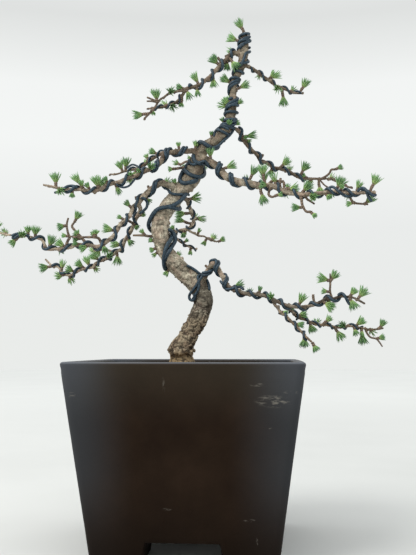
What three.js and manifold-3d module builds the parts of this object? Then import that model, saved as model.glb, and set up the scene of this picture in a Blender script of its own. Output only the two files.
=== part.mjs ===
// A wired larch bonsai in a square tapered pot, in millimetres, +Z up. The origin is on the surface that
// the pot stands on, below the middle of the tree's spread.
import * as THREE from 'three';
import { mergeVertices } from 'three/addons/utils/BufferGeometryUtils.js';
import Module from 'manifold-3d';

const wasm = await Module();
wasm.setup();

// ---------------------------------------------------------------- driving dimensions

const GAP = 0.3; // clear space between neighbouring pieces

const POT_WIDTH = 202.5; // across the rim
const POT_HEIGHT = 165;
const POT_X = -2.5; // the pot stands a little to the left under the tree's spread
const POT_TAPER = 0.138; // how far each side leans in, per mm of height
const POT_WALL = 6;
const POT_FLOOR = 8;
const POT_CORNER = 8; // radius of the upright corners at the rim
const RIM_WALL = 7.5; // the rim is a little thicker than the wall
const RIM_HEIGHT = 9;
const FOOT_HEIGHT = 18;
const FOOT_NOTCH = 64; // width of the notch in the middle of each side
const DRAIN_RADIUS = 13;

const MESH_WIDTH = 42;
const MESH_THICKNESS = 1.6;
const MESH_CELL = 9;
const MESH_BAR = 3;
const MESH_CELLS = 3; // openings along each side

const SOIL_TOP = 155;
const SOIL_MOUND = 5; // extra height close to the trunk
const SOIL_MOUND_REACH = 34;
const SOIL_ROUGHNESS = 1.3;
const SOIL_GRID = 8;
const SOIL_HEADROOM = 25; // height above the soil that its cutting shapes reach

const ROOT_DEPTH = 118; // height of the trunk's lower end, in the soil
const HOLE_CLEARANCE = 0.6;
const THICK_LIMB = 7; // radii at the foot that give a limb more sides
const THIN_LIMB = 3;

const TRUNK_WIRE = 2.0; // wire radii
const BRANCH_WIRE = 1.35;
const TWIG_WIRE = 1.0;
const WIRE_STEPS = 6; // points to a turn
const WIRE_STANDOFF = 1.12; // radius of a limb that its wire stays clear of, per radius drawn

const SPUR_RADIUS = 1.25;
const SPUR_FOOT = 0.75; // radius where the spur leaves the bark
const SPUR_BAND = 1.5; // height of the part of a spur that carries needles
const SPUR_SINK = 1.8; // how deep a spur's foot lies below the bark
const SPUR_REACH = 2.2; // least length of a spur outside the bark
const SPUR_SIDES = 3;
const TWIG_SIDES = 3;
const WIRE_SIDES = 4;
const WIRE_CHECKS = 4; // points that stand for each step of a wire when a shoot looks for room
const SHOOT_SHIFTS = [0, 2, -2, 4, -4, 6, -6]; // moves along a branch, tried in turn to clear the wires
const SHOOT_TURNS = [0, 25, -25, 50, -50, 80, -80]; // turns round it, in degrees
const SHOOT_LIFTS = [0, 0.5, 1.2]; // how far it is lifted off the branch
const TUFT_ROOM = 7; // least distance between the middles of two tufts
const NEEDLE_LENGTH = 8.5;
const NEEDLE_VARIETY = 0.15; // share by which a needle is longer or shorter
const NEEDLE_WANDER = 0.5; // how unevenly a needle stands on its face
const NEEDLE_ORIGIN = 1.65; // depth below a spur's top of the point that its needles lead away from
const NEEDLE_SPREAD = 0.9; // how far needles lean out, per mm of their length
const NEEDLE_MIDDLE = 0.6; // share of a needle's length at which a tuft has its middle

// Routes are drawn in a front elevation, as [across, up, back, radius]. The elevation is seen from
// VIEW_POINT, and a point set back from it slides along its sight line, so the front view stays as drawn.
const VIEW_POINT = new THREE.Vector3(69, -697, 175);

// ---------------------------------------------------------------- routes

const TRUNK = [
  [-13, ROOT_DEPTH, 0, 8],
  [-13, 146, 0, 12],
  [-13, 160, 0, 13.5],
  [-13.5, 168, 0, 10.5],
  [-13.5, 175, 0, 12],
  [-8.7, 184, 1, 9],
  [-4.6, 194, 2, 8.9],
  [1.5, 203, 4, 9.6],
  [5, 213, 6, 9.6],
  [7, 222, 7, 9.5],
  [4, 232, 7, 9.4],
  [-4, 242, 5, 9.2],
  [-15, 251, 2, 8.8],
  [-23, 260, -1, 8.2],
  [-30, 270, -4, 7.8],
  [-33, 280, -6, 8.2],
  [-34.5, 290, -6, 8.9],
  [-34.5, 300, -5, 8.8],
  [-29, 309, -3, 7.9],
  [-21, 319, 0, 8],
  [-14, 329, 3, 8.1],
  [-5, 338, 5, 8.4],
  [-1.5, 347, 5, 8.3],
  [1.5, 356, 4, 7.1],
  [4.5, 364, 2, 6.1],
  [9.5, 370, 0, 5.6],
  [17, 375, -2, 5.1],
  [24, 380.5, -3, 4.9],
  [31, 390, -4, 4.9],
  [33, 398, -5, 5],
  [34.5, 405, -5, 4.6],
  [35.5, 412, -5, 4],
  [36, 420, -4, 3.4],
  [36.3, 428, -3, 3.3],
  [37.3, 435, -2, 3.3],
  [40, 441, -1, 3.4],
  [43, 448, 0, 4.1],
  [45.3, 455, 0, 4.6],
  [46.5, 461, 0, 4.8],
  [46.8, 468, 1, 4.7],
  [47.3, 476, 1, 4.4],
  [47.5, 482, 1, 3.2],
];

const TOP_LEFT = [
  [46, 458, 0, 3],
  [41, 462, -2, 2.7],
  [36, 463, -3, 2.5],
  [32.5, 460.5, -4, 2.5],
  [29.5, 456.5, -6, 2.5],
  [25, 452, -8, 2.5],
  [20.5, 447.5, -10, 2.4],
  [16, 442.5, -12, 2.2],
  [10, 437, -15, 2.1],
  [4, 432, -18, 2.1],
  [-3, 430, -20, 2.1],
  [-10, 428, -23, 2],
];

const TOP_LEFT_UPPER = [
  [-10, 428, -23, 1.7],
  [-15, 426.5, -26, 1.6],
  [-21, 425.7, -29, 1.6],
  [-26, 424.5, -31, 1.5],
  [-31, 421, -33, 1.4],
  [-36, 417.5, -35, 1.3],
  [-40.5, 410.5, -37, 1.2],
  [-43, 407, -38, 1.2],
  [-47, 403.5, -39, 1.1],
  [-51, 399.5, -40, 0.9],
];

const TOP_LEFT_LOWER = [
  [-10, 428, -23, 1.9],
  [-13, 423, -22, 1.8],
  [-16, 418.5, -21, 1.8],
  [-20, 415, -20, 1.7],
  [-25, 413, -18, 1.6],
  [-30, 411.5, -17, 1.5],
  [-35, 410.3, -16, 1.5],
  [-40, 410, -15, 1.3],
  [-48, 409.3, -13, 1],
];

const TOP_RIGHT = [
  [45, 452, 0, 2.4],
  [50, 449, 3, 2.2],
  [55, 446.5, 6, 2.1],
  [60, 442.5, 9, 2],
  [65, 438.5, 12, 1.9],
  [70, 435, 14, 1.9],
  [77, 429, 18, 1.8],
  [83, 426.5, 21, 1.7],
  [89, 423.5, 24, 1.5],
  [96, 421, 28, 1.4],
  [104, 420, 31, 1.1],
];

const LEFT_HIGH = [
  [3, 362, 2, 3.4],
  [-2, 366, -1, 3.2],
  [-8, 366, -4, 3.1],
  [-15, 366.3, -7, 3],
  [-22, 365.3, -10, 2.9],
  [-28, 365, -12, 2.9],
  [-32, 361.5, -14, 2.8],
  [-34, 356.5, -16, 2.7],
  [-38, 352.5, -18, 2.7],
  [-45, 349.3, -20, 2.6],
  [-52, 346, -22, 2.5],
  [-60, 342.5, -25, 2.4],
  [-67, 340.5, -27, 2.4],
  [-74, 337.3, -29, 2.4],
  [-80, 336, -31, 2.3],
  [-86, 334.2, -33, 2.2],
  [-92, 331.2, -35, 2.2],
  [-98, 328.8, -37, 2.1],
  [-105, 329, -39, 2],
  [-112, 330.3, -41, 2],
  [-120, 330.3, -42, 1.9],
  [-128, 331, -44, 1.8],
  [-136, 332.3, -45, 1.6],
  [-144, 334.3, -47, 1.4],
  [-150.5, 335.7, -48, 1.3],
];

const LEFT_HIGH_FORK = [
  [-28, 365, -12, 2.2],
  [-33, 364.8, -6, 2],
  [-38, 362, 0, 1.9],
  [-43, 359, 5, 1.9],
  [-48, 355.5, 9, 1.8],
  [-53, 352, 13, 1.7],
  [-59, 349.5, 17, 1.7],
  [-65, 348.5, 21, 1.6],
  [-71, 347, 25, 1.4],
  [-78, 344.8, 29, 1.2],
  [-84.5, 344.8, 33, 0.9],
];

const LEFT_LOW = [
  [-14, 327, 3, 3.8],
  [-21, 330, -3, 3.6],
  [-28, 333.3, -7, 3.4],
  [-34, 334.8, -10, 3.3],
  [-39.5, 332, -11, 3.2],
  [-44, 329, -12, 3.2],
  [-48.5, 325, -12, 3.1],
  [-52.5, 320.5, -12, 3],
  [-56.5, 315.5, -12, 3],
];

const LEFT_LOW_FRONT = [
  [-56.5, 315.5, -12, 2.6],
  [-61, 312.3, -15, 2.4],
  [-62.8, 307.5, -17, 2.3],
  [-65, 302.5, -19, 2.3],
  [-69, 299.3, -21, 2.3],
  [-73.5, 295, -22, 2.3],
  [-76.5, 289.5, -23, 2.3],
  [-80, 284.3, -24, 2.2],
  [-85, 280, -25, 2.2],
  [-91, 275.3, -26, 2.1],
  [-97, 274, -27, 2.1],
  [-104, 275.7, -28, 2.1],
  [-111, 276, -28, 2],
  [-117, 275.8, -29, 2],
  [-122, 273.3, -29, 1.9],
  [-130, 272.7, -30, 1.9],
  [-141, 271.7, -31, 1.7],
  [-145.5, 273, -31, 1.6],
  [-150, 280.7, -32, 1.5],
  [-154, 282.5, -33, 1.5],
  [-160, 283.7, -34, 1.4],
  [-166, 285.3, -34, 1.4],
  [-173, 284.8, -35, 1.3],
  [-181, 286.2, -36, 1.3],
  [-188, 287.3, -37, 1.2],
  [-198.3, 290.5, -37, 1.2],
];

const LEFT_LOW_BACK = [
  [-56.5, 315.5, -12, 2.6],
  [-54, 310.5, -8, 2.4],
  [-55.5, 305.5, -3, 2.3],
  [-58.3, 300.2, 1, 2.3],
  [-60.5, 294.5, 4, 2.3],
  [-63.5, 287.5, 8, 2.2],
  [-67.6, 282, 12, 2.1],
  [-70, 276.5, 15, 2.1],
  [-71, 272.5, 17, 2],
  [-75.5, 269.5, 19, 2],
  [-80, 266, 22, 1.9],
  [-86, 262.3, 25, 1.9],
  [-92, 260.2, 28, 1.8],
  [-97, 257.7, 30, 1.8],
  [-100, 254, 32, 1.7],
  [-106, 253, 34, 1.7],
  [-112, 251.3, 37, 1.7],
  [-117, 248.7, 39, 1.6],
  [-122.5, 246.3, 41, 1.6],
  [-128, 247.8, 43, 1.5],
  [-131, 251.3, 45, 1.4],
  [-135, 255, 46, 1.4],
  [-140, 256, 47, 1.3],
  [-147, 262.5, 49, 0.9],
];

const BACK = [
  [-14, 322, 3, 3],
  [-9, 318, 12, 2.6],
  [-6.5, 312, 18, 2.4],
  [-4.5, 306, 24, 2.3],
  [-2.3, 300.5, 30, 2.3],
  [-3.5, 294.5, 36, 2.2],
  [-7.5, 290.5, 42, 2.1],
  [-14, 289, 49, 2],
  [-20.5, 287, 55, 1.9],
  [-19.5, 282.5, 60, 1.7],
  [-16.5, 278.5, 65, 1.5],
  [-12, 275.7, 70, 1.3],
  [-5, 272, 75, 1.1],
  [0.5, 270.2, 80, 0.9],
];

const BACK_RIGHT = [
  [-9, 290, 44, 1.7],
  [-5.5, 287.6, 48, 1.6],
  [-1.5, 285.5, 52, 1.5],
  [3, 283.2, 57, 1.5],
  [8, 282.6, 61, 1.4],
  [11.5, 280, 65, 1.3],
  [17, 278, 70, 1.2],
  [21, 277.4, 74, 1],
];

const BACK_UPPER = [
  [-1.5, 347, 5, 2.8],
  [1, 352, 18, 2.5],
  [-1, 355, 30, 2.3],
  [-4, 353, 42, 2.1],
  [-2, 356, 54, 1.9],
  [2, 355, 66, 1.6],
  [4, 358, 78, 1.2],
];

const RIGHT_HIGH = [
  [31, 390, -4, 2.4],
  [37, 387.5, 0, 2.3],
  [41, 385.5, 3, 2.2],
  [43.5, 380, 6, 2.2],
  [46, 375, 9, 2.1],
  [50, 369.7, 12, 2.1],
  [54.5, 365, 15, 2.1],
  [59, 360.3, 18, 2.1],
  [61.5, 355.8, 20, 2],
  [66, 354, 22, 2],
  [73, 349, 27, 1.9],
  [78, 347.5, 29, 1.9],
  [84.5, 345.3, 32, 1.8],
  [90, 343.8, 34, 1.8],
  [94.5, 340, 37, 1.8],
  [100, 337.7, 39, 1.7],
  [106, 336.8, 42, 1.7],
  [113, 336.7, 44, 1.6],
  [119, 336.3, 46, 1.5],
  [126, 336.5, 48, 1.4],
  [131, 334.8, 50, 1.3],
  [136, 332, 52, 1.2],
  [142, 329, 54, 1.1],
  [149, 326.7, 56, 1],
];

const RIGHT_MAIN = [
  [2, 361, 3, 4.5],
  [9, 358, -1, 4.2],
  [15, 354.5, -4, 4],
  [20, 350.5, -6, 4],
  [25, 344.5, -8, 4],
  [31, 339, -10, 4],
  [38, 336, -11, 3.9],
  [46, 334, -13, 3.9],
  [54, 332.5, -14, 3.8],
  [62, 331, -16, 3.5],
  [70, 330.8, -18, 3.2],
  [76, 329.3, -20, 3],
  [81, 326.3, -22, 2.9],
  [87, 324, -23, 2.8],
  [94, 322.7, -25, 2.7],
  [102, 321.5, -28, 2.6],
  [110, 321.8, -30, 2.4],
  [118, 322.5, -32, 2.3],
  [126, 323.6, -34, 2.2],
  [133, 324.2, -36, 2.1],
  [141, 323, -38, 2],
  [150, 322.7, -39, 1.9],
  [158, 322, -41, 1.8],
  [164, 322.3, -42, 1.7],
  [170.5, 322.3, -43, 1.6],
];

const RIGHT_LOW = [
  [3, 233, 7, 4.2],
  [7, 241, 2, 3.4],
  [10, 247, -2, 3],
  [12.5, 252, -4, 2.9],
  [15.5, 256, -5, 2.8],
  [18.5, 256.3, -5, 2.7],
  [21, 252, -6, 2.7],
  [24, 246.5, -7, 2.7],
  [26.7, 241.5, -8, 2.7],
  [29, 236.5, -8, 2.6],
  [33, 232.8, -9, 2.5],
  [38, 230.8, -10, 2.5],
  [44, 228.3, -11, 2.4],
  [51, 227.1, -12, 2.4],
  [59, 226.5, -14, 2.3],
  [66, 225.2, -16, 2.2],
  [72, 222.5, -17, 2.2],
  [78, 219.5, -18, 2.1],
  [84, 216.8, -20, 2],
  [91, 215.2, -22, 2],
  [99, 214.8, -24, 1.9],
  [106, 215.6, -26, 1.9],
  [112, 217, -28, 1.9],
  [117, 219.5, -30, 1.8],
  [122, 222, -31, 1.8],
  [129, 222.3, -33, 1.8],
  [135.5, 224.5, -35, 1.6],
  [142, 224.1, -36, 1.4],
  [149, 222.5, -38, 1.2],
  [158, 217.3, -41, 0.9],
];

const RIGHT_LOW_FORK = [
  [84, 216.8, -20, 1.9],
  [88.5, 212.3, -14, 1.8],
  [92, 209.3, -9, 1.7],
  [94.5, 206, -4, 1.7],
  [98, 204, 0, 1.7],
  [103.5, 202.7, 4, 1.6],
  [108, 200, 8, 1.6],
  [113, 198.4, 11, 1.6],
  [120, 198, 15, 1.5],
  [127, 196.7, 19, 1.5],
  [133.5, 195.4, 23, 1.5],
  [140, 196.3, 26, 1.5],
  [146.5, 196.6, 29, 1.4],
  [154, 195, 33, 1.3],
  [161, 193.7, 37, 1.2],
  [168, 193.8, 41, 1.1],
  [174.5, 194.8, 45, 0.9],
];

const RIGHT_LOW_FRONT = [
  [72, 222.5, -17, 1.8],
  [74.5, 217, -20, 1.7],
  [77.5, 213.5, -22, 1.7],
  [80, 209, -24, 1.6],
  [84, 207, -26, 1.6],
  [87.5, 203.7, -28, 1.5],
  [91, 199.7, -30, 1.5],
  [95.5, 195.5, -32, 1.5],
  [99.5, 191, -35, 1.4],
  [102.5, 187.3, -38, 1.4],
  [109, 181.5, -43, 1.2],
];

// Unwired twigs: the limb that each grows from, and its route.
const TWIGS = [
  ['top_left_upper', [[-38, 416, -36, 1.1], [-42, 418, -37, 1], [-48.5, 421, -38, 0.8]]],
  ['top_left_upper', [[-38.5, 415.5, -36, 1], [-43, 416.7, -34, 0.9], [-48.5, 417, -33, 0.7]]],
  [
    'left_low_front',
    [
      [-89, 277.5, -26, 1.5], [-94, 281.5, -28, 1.3], [-98, 283, -30, 1.2], [-106, 283.3, -31, 1.1],
      [-115, 283.3, -32, 1], [-123, 284.3, -33, 0.8],
    ],
  ],
  [
    'left_low_front',
    [
      [-125.2, 273.5, -30, 1.4], [-124.8, 280, -31, 1.3], [-123, 283.2, -32, 1.2], [-124.5, 287, -32, 1.1],
      [-125.7, 292, -33, 1], [-126, 297, -33, 1], [-124.7, 302.5, -34, 0.8],
    ],
  ],
  [
    'left_low_front',
    [
      [-105, 276.5, -27, 1.5], [-110.3, 281.6, -24, 1.3], [-113.6, 285.5, -22, 1.2],
      [-117.6, 289.6, -20, 1.2], [-120.9, 294.2, -18, 1.1], [-118.4, 298.5, -17, 0.9],
    ],
  ],
  ['left_low_front', [[-69, 299.3, -21, 1.5], [-65, 298.5, -12, 1.3], [-60.5, 295.8, 2, 1.2]]],
  ['left_low_front', [[-145, 272.8, -31, 1.4], [-149, 273.3, -33, 1]]],
  ['trunk', [[-33, 283.5, -6, 2], [-45, 283.5, -10, 1.3], [-51, 284.3, -12, 1.1], [-61, 284.5, -15, 0.8]]],
  ['trunk', [[-2, 350.5, 5, 2], [-12, 350, 2, 1.6], [-20, 349, 0, 1.2]]],
  [
    'right_high',
    [
      [119, 336.3, 46, 1.3], [123, 338.3, 45, 1.2], [127, 341.5, 43, 1.1], [129, 345, 42, 1.2],
      [132.5, 345.2, 41, 1.1],
    ],
  ],
  ['right_high', [[117.5, 334.5, 46, 0.9], [122, 330.6, 45, 0.8], [127, 327.3, 44, 0.7]]],
  [
    'right_main',
    [
      [67, 330.5, -17, 1.4], [69.5, 322.5, -20, 1.2], [72.5, 319.8, -22, 1.1], [76, 320.7, -24, 1],
    ],
  ],
  [
    'right_main',
    [
      [68, 333, -18, 1.6], [74, 335.5, -16, 1.4], [80, 334.5, -14, 1.3], [84, 334.5, -13, 1.4],
    ],
  ],
  [
    'right_main',
    [
      [99, 321.5, -27, 1.5], [100.5, 317, -30, 1.3], [101.3, 311.5, -33, 1.2], [104.5, 305.5, -36, 1.1],
      [109, 304.8, -38, 1.2],
    ],
  ],
  [
    'right_main',
    [
      [103, 319.5, -28, 1.2], [106, 317, -26, 1.1], [109, 315, -24, 1], [112.7, 312.3, -22, 0.8],
    ],
  ],
  [
    'right_main',
    [
      [144, 320.5, -38, 1.3], [147.5, 315.2, -36, 1.1], [151, 312.5, -35, 1], [156, 311.8, -34, 0.9],
      [162.7, 311, -33, 0.7],
    ],
  ],
  [
    'right_low',
    [
      [126, 222.5, -32, 1.1], [126, 229, -34, 1], [126.3, 236, -36, 0.9], [126.3, 246, -38, 0.7],
    ],
  ],
  [
    'right_low_fork',
    [
      [157.5, 194.5, 35, 1.1], [159.5, 189.7, 33, 1], [162.5, 186.3, 31, 0.9], [167.5, 185, 29, 0.9],
      [170, 182.3, 28, 0.8], [173, 177.7, 27, 0.6],
    ],
  ],
  ['left_low_back', [[-79, 267, 20, 1.4], [-84, 270, 30, 1.2], [-91, 271, 38, 1.1], [-98, 268, 45, 0.9]]],
  ['back_upper', [[-4, 353, 42, 1.4], [-9, 356, 50, 1.2], [-15, 353, 58, 1]]],
];

// Needle tufts by limb: [across, up] of the spur's foot, then how far its needles reach [across, up, back].
const TUFTS = {
  trunk: [
    [46, 483, -6.5, 14.5, 0],
    [35, 431.5, -12.5, 8.5, -4],
    [38, 430.5, 14.5, 2, 3],
    [29.5, 407, -3, 13, -2],
    [35, 387, 8, 7.5, 2],
    [-34, 272, -10, -2, -5],
    [-22, 257, -8.5, -12.5, -2],
    [-14, 332, -8, 2, 14],
    [-34, 297, 2, 3, 17],
    [-23, 284, 3, -2, 13],
    [2, 350, 3, -2, 17],
    [34, 400, 2, 2, 14],
    [-20, 349, -8, -0.5, 0],
    [-49, 284.2, -5, 6.5, -3],
  ],
  top_left: [
    [23, 450, -10, 11.5, -2],
    [31, 457, -1.5, -13, 4],
    [15, 441, 2.5, -14, 3],
    [3, 432, -7, 13, -1],
    [-11, 427, -10, 4, -4],
  ],
  top_left_upper: [
    [-38.5, 416, -2, 14.5, -2],
    [-46, 404.5, -18, -1.5, 0],
    [-26, 424, 2, 4, -12],
  ],
  top_left_lower: [
    [-15.5, 417, 0.5, -8, 2],
    [-30, 411.5, -3, 2, 12],
  ],
  top_right: [
    [70.5, 435.5, 7.5, 8, -2],
    [100, 420.8, 8.5, 14.5, 0],
    [83, 425, 2, -18, 0],
    [63, 441, -2, -3, 12],
    [92, 422.5, 3, 2, 11],
  ],
  left_high: [
    [-0.5, 366, 1, 11.5, 0],
    [-17, 366.5, -0.3, 9.5, -3],
    [-81, 336.5, -8.5, 5, -5],
    [-98, 329, -2, 16, -3],
    [-115, 331, -6, 15, 2],
    [-123, 330.3, 1.5, -8, -2],
    [-137.5, 332.5, -1, 16.5, 0],
    [-74.5, 337, 1.5, -13.5, 2],
    [-88, 333.5, -3, 3, 12],
    [-130, 331, -2, -3, -12],
    [-66, 340.5, 2, -3, 13],
    [-45, 349.5, 2, 4, -13],
  ],
  left_high_fork: [
    [-36.5, 363, -10.5, 5.5, -2],
    [-66.5, 348.5, -1.5, 14, 0],
    [-58, 350, -3, -9, 7],
    [-50, 354, 4, 4, 12],
  ],
  left_low: [
    [-20, 330, -1.5, 8.5, -3],
    [-30, 334, 3, 4, 13],
    [-50, 323.5, 6, -8, 8],
  ],
  left_low_front: [
    [-62.5, 310.5, -7.5, 8.5, -3],
    [-76, 291.5, -15.5, 0.8, -2],
    [-112, 277, -8, 1, -6],
    [-125.5, 273.5, -12, 7, -3],
    [-141.5, 272, 2, 15, -1],
    [-157, 284, 0.5, 12.5, -2],
    [-178, 285.3, -5, -10, 0],
    [-126, 295.5, -11, -2.5, -2],
    [-118.4, 298.5, 5.4, 11, 0],
    [-90, 276, 3, -8, -8],
    [-133, 273, 2, -3, 13],
    [-172, 285, 2, 3, -12],
    [-186, 287, -3, 3, 12],
    [-198.3, 290.5, 5, 10.5, 3],
    [-95, 274, -2, -10, 6],
  ],
  left_low_back: [
    [-70, 276.5, -13.5, 0.3, 2],
    [-65, 284, 4.5, -9, -2],
    [-90, 260.7, -13, 6, -2],
    [-107.5, 253, -10, 7.5, -3],
    [-127, 247.3, -10.5, -2, 2],
    [-139, 256, -15, -3, -1],
    [-98, 256.5, 3, -5, 12],
    [-86, 262, 3, 5, -11],
    [-122, 246.5, 2, -8, 10],
    [-57, 303, 8, 3, 7],
    [-98, 268, -4, 5, 6],
  ],
  back: [
    [-9, 319, 15, 1.5, 2],
    [-4.5, 305.5, -17, -1, -3],
    [-3.5, 295, -18, 5.5, -4],
    [-21, 287.3, -3, 6.5, -6],
    [-4.8, 272, -1, -8, 0],
    [-4, 299, 5, 3, 13],
  ],
  back_right: [
    [10.5, 280.5, -4.5, -7, 2],
    [14, 279, 4, 4, 11],
    [21, 277.4, 7.5, 3.5, 1],
  ],
  back_upper: [
    [0, 353, 8, 8, 6],
    [-3, 354, -10, -6, 5],
    [-2, 356, 3, 12, 5],
    [-15, 353, -7, 3, 5],
    [4, 358, 2, 4, 9],
  ],
  right_high: [
    [44, 378.5, 16, 2.5, -2],
    [82, 346, 9, 11.5, -2],
    [96.5, 339.3, 11, 14, 0],
    [117.5, 336, 0.5, -17.5, -2],
    [132.5, 345.2, 8, 3.3, 0],
    [73, 349, -2, -9, 8],
    [128, 336, 2, 3, 12],
  ],
  right_main: [
    [14, 355, -1, 16, -5],
    [23.5, 346.5, 16.5, 6.5, -3],
    [50, 333.8, 8, 17.5, 0],
    [66, 331, -3, 22, -1],
    [86, 325, 13.5, 4, -4],
    [100, 322, 11, 12, -2],
    [122, 322.8, 6.5, -6, -3],
    [133, 324.5, 7.5, 14.5, -1],
    [162.5, 322, 10.5, 18.5, -1],
    [61, 328, 4.5, -16.5, -2],
    [109, 304.8, 5, -5, -3],
    [99.5, 308.5, -10, 0.5, -2],
    [159, 311.8, 11, 8, 2],
    [46, 334, 3, 4, 14],
    [84, 325.3, 3, -4, 13],
    [111, 321.8, 3, -3, -13],
    [128, 323.8, 2, -3, 12],
    [146, 322.8, -3, -4, 12],
  ],
  right_low: [
    [96.5, 215, 5.5, 13.5, -1],
    [116, 218.5, 14, -6, -3],
    [143.5, 223.8, 7, 9, -1],
    [143.5, 223.5, 6.5, -13, -1],
    [126.3, 239.5, -13, 4, -2],
    [126.3, 238.5, 7.5, 10, 2],
    [48, 227.5, 3, 3, 12],
    [88, 215.7, 2, -3, 11],
    [72, 222.5, -2, 4, -11],
  ],
  right_low_fork: [
    [121, 198, 6.5, 8, 0],
    [148, 196.3, 10, 8.5, -2],
    [170.5, 194, 5.5, 9.5, 0],
    [105.5, 202, 4.5, -12, 1],
    [129.5, 196, 8, -13.5, 0],
    [154, 195, 1.5, -17, 1],
    [167.5, 185, 9, 2, -2],
    [138, 196, -2, 3, -12],
    [162, 193.7, 3, -3, 11],
  ],
  right_low_front: [
    [90.5, 200.3, 10.5, -2.5, -2],
    [102, 187.5, -1, -12, 0],
    [109, 181.5, 4.5, -9.5, 0],
  ],
};

// Each wire is a chain of runs. A run with `at` passes through hand-placed [distance, angle] stations of
// its spine. The others wind evenly from one distance along the spine to another, with one turn to each
// `pitch`, and pass over the top at `top`. Angles are in degrees and turn about the spine from its
// reference direction.
const WIRES = [
  {
    name: 'trunk_wire',
    radius: TRUNK_WIRE,
    runs: [
      {
        on: 'trunk',
        at: [
          [150, 80],
          [153, 130],
          [157, 185],
          [165, 235],
          [174, 285],
          [181, 340],
          [186, 395],
          [189, 450],
          [192, 500],
          [197, 550],
          [205, 595],
          [213, 640],
          [218, 690],
          [222, 730],
          [225, 770],
          [230, 805],
          [238, 838],
          [247, 868],
          [255, 890],
          [259, 915],
          [257, 950],
          [254, 990],
          [256, 1040],
          [261, 1085],
          [267, 1125],
          [274, 1160],
          [280, 1195],
          [285, 1250],
          [288, 1305],
          [291, 1360],
          [294, 1410],
          [297, 1460],
          [300, 1510],
        ],
      },
    ],
  },
  {
    name: 'leader_wire',
    radius: BRANCH_WIRE,
    runs: [
      { on: 'trunk', from: 307, to: 378, pitch: 20.5, top: 301, hand: 1 },
      {
        on: 'trunk',
        at: [
          [383, 1358],
          [387, 1362],
          [391, 1370],
          [394, 1420],
          [397, 1490],
          [400, 1560],
          [403, 1630],
          [406, 1700],
          [409, 1770],
          [412, 1840],
        ],
      },
    ],
  },
  {
    name: 'top_left_wire',
    radius: BRANCH_WIRE,
    runs: [{ on: 'top_left', from: 9, to: 74, pitch: 15, top: 10.6, hand: -1 }],
  },
  {
    name: 'top_left_fork_wire',
    radius: TWIG_WIRE,
    runs: [{ on: 'top_left_lower', from: 7, to: 42, pitch: 12, top: 7, hand: -1 }],
  },
  {
    name: 'top_right_wire',
    radius: TWIG_WIRE,
    runs: [{ on: 'top_right', from: 9, to: 70, pitch: 15, top: 5, hand: 1 }],
  },
  {
    name: 'left_high_wire',
    radius: BRANCH_WIRE,
    runs: [{ on: 'left_high', from: 14, to: 146, pitch: 17, top: 14, hand: -1 }],
  },
  {
    name: 'left_high_fork_wire',
    radius: TWIG_WIRE,
    runs: [
      { on: 'left_high', from: 17.5, to: 31, pitch: 17, top: 17.5, hand: -1 },
      { on: 'left_high_fork', from: 9, to: 60, pitch: 14, top: 9, hand: -1 },
    ],
  },
  {
    name: 'left_low_wire',
    radius: BRANCH_WIRE,
    runs: [
      {
        on: 'trunk',
        at: [
          [239, 370],
          [236, 335],
          [231, 300],
          [227, 262],
          [227, 228],
        ],
      },
      { on: 'left_low', from: 12, to: 50, pitch: 23.5, top: 22, hand: -1 },
      { on: 'left_low_front', from: 5, to: 145, pitch: 17, top: 1, hand: -1 },
    ],
  },
  {
    name: 'left_low_back_wire',
    radius: BRANCH_WIRE,
    runs: [{ on: 'left_low_back', from: 9, to: 148, pitch: 16, top: 13, hand: -1 }],
  },
  {
    name: 'back_wire',
    radius: TWIG_WIRE,
    runs: [{ on: 'back', from: 14, to: 112, pitch: 15, top: 13, hand: 1 }],
  },
  {
    name: 'back_upper_wire',
    radius: TWIG_WIRE,
    runs: [{ on: 'back_upper', from: 14, to: 78, pitch: 15, top: 14, hand: 1 }],
  },
  {
    name: 'right_high_wire',
    radius: BRANCH_WIRE,
    runs: [{ on: 'right_high', from: 11, to: 106, pitch: 16, top: 11, hand: 1 }],
  },
  {
    name: 'right_main_wire',
    radius: BRANCH_WIRE,
    runs: [
      {
        on: 'trunk',
        at: [
          [270, 175],
          [268, 215],
          [266, 260],
        ],
      },
      { on: 'right_main', from: 12, to: 182, pitch: 16.5, top: 23.5, hand: 1 },
    ],
  },
  {
    name: 'right_low_wire',
    radius: BRANCH_WIRE,
    runs: [
      {
        on: 'trunk',
        at: [
          [109, 195],
          [114, 225],
          [120, 258],
          [126, 285],
          [131, 303],
        ],
      },
      { on: 'right_low', from: 14, to: 46, pitch: 17, top: 28, hand: 1 },
      { on: 'right_low', from: 50, to: 170, pitch: 15.25, top: 46.4, hand: 1 },
    ],
  },
  {
    name: 'right_low_fork_wire',
    radius: TWIG_WIRE,
    runs: [{ on: 'right_low_fork', from: 9, to: 100, pitch: 14, top: 2, hand: 1 }],
  },
  {
    name: 'right_low_front_wire',
    radius: TWIG_WIRE,
    runs: [{ on: 'right_low_front', from: 15, to: 54, pitch: 13, top: 8.5, hand: 1 }],
  },
];

// ---------------------------------------------------------------- spines

const UP = new THREE.Vector3(0, 0, 1);
const RIGHT = new THREE.Vector3(1, 0, 0);

// A repeatable draw between 0 and 1.
function seeded(seed) {
  let state = seed;
  return () => {
    state = (state * 16807) % 2147483647;
    return state / 2147483647;
  };
}

// Where a drawn point lies in space.
function placed(across, up, back) {
  const onElevation = new THREE.Vector3(across, 0, up);
  return VIEW_POINT.clone().lerp(onElevation, 1 - back / VIEW_POINT.y);
}

const FINE = 6; // samples between two drawn points

// The centre line of a limb: evenly numbered samples with a direction, a radius, two cross directions that
// don't twist about the line, and the distance from the foot.
function spineOf(rows, reference, foot) {
  const knots = rows.map((row) => placed(row[0], row[1], row[2]));
  if (foot) knots[0].copy(foot);
  return spineThrough(knots, rows.map((row) => row[3]), reference);
}

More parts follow.
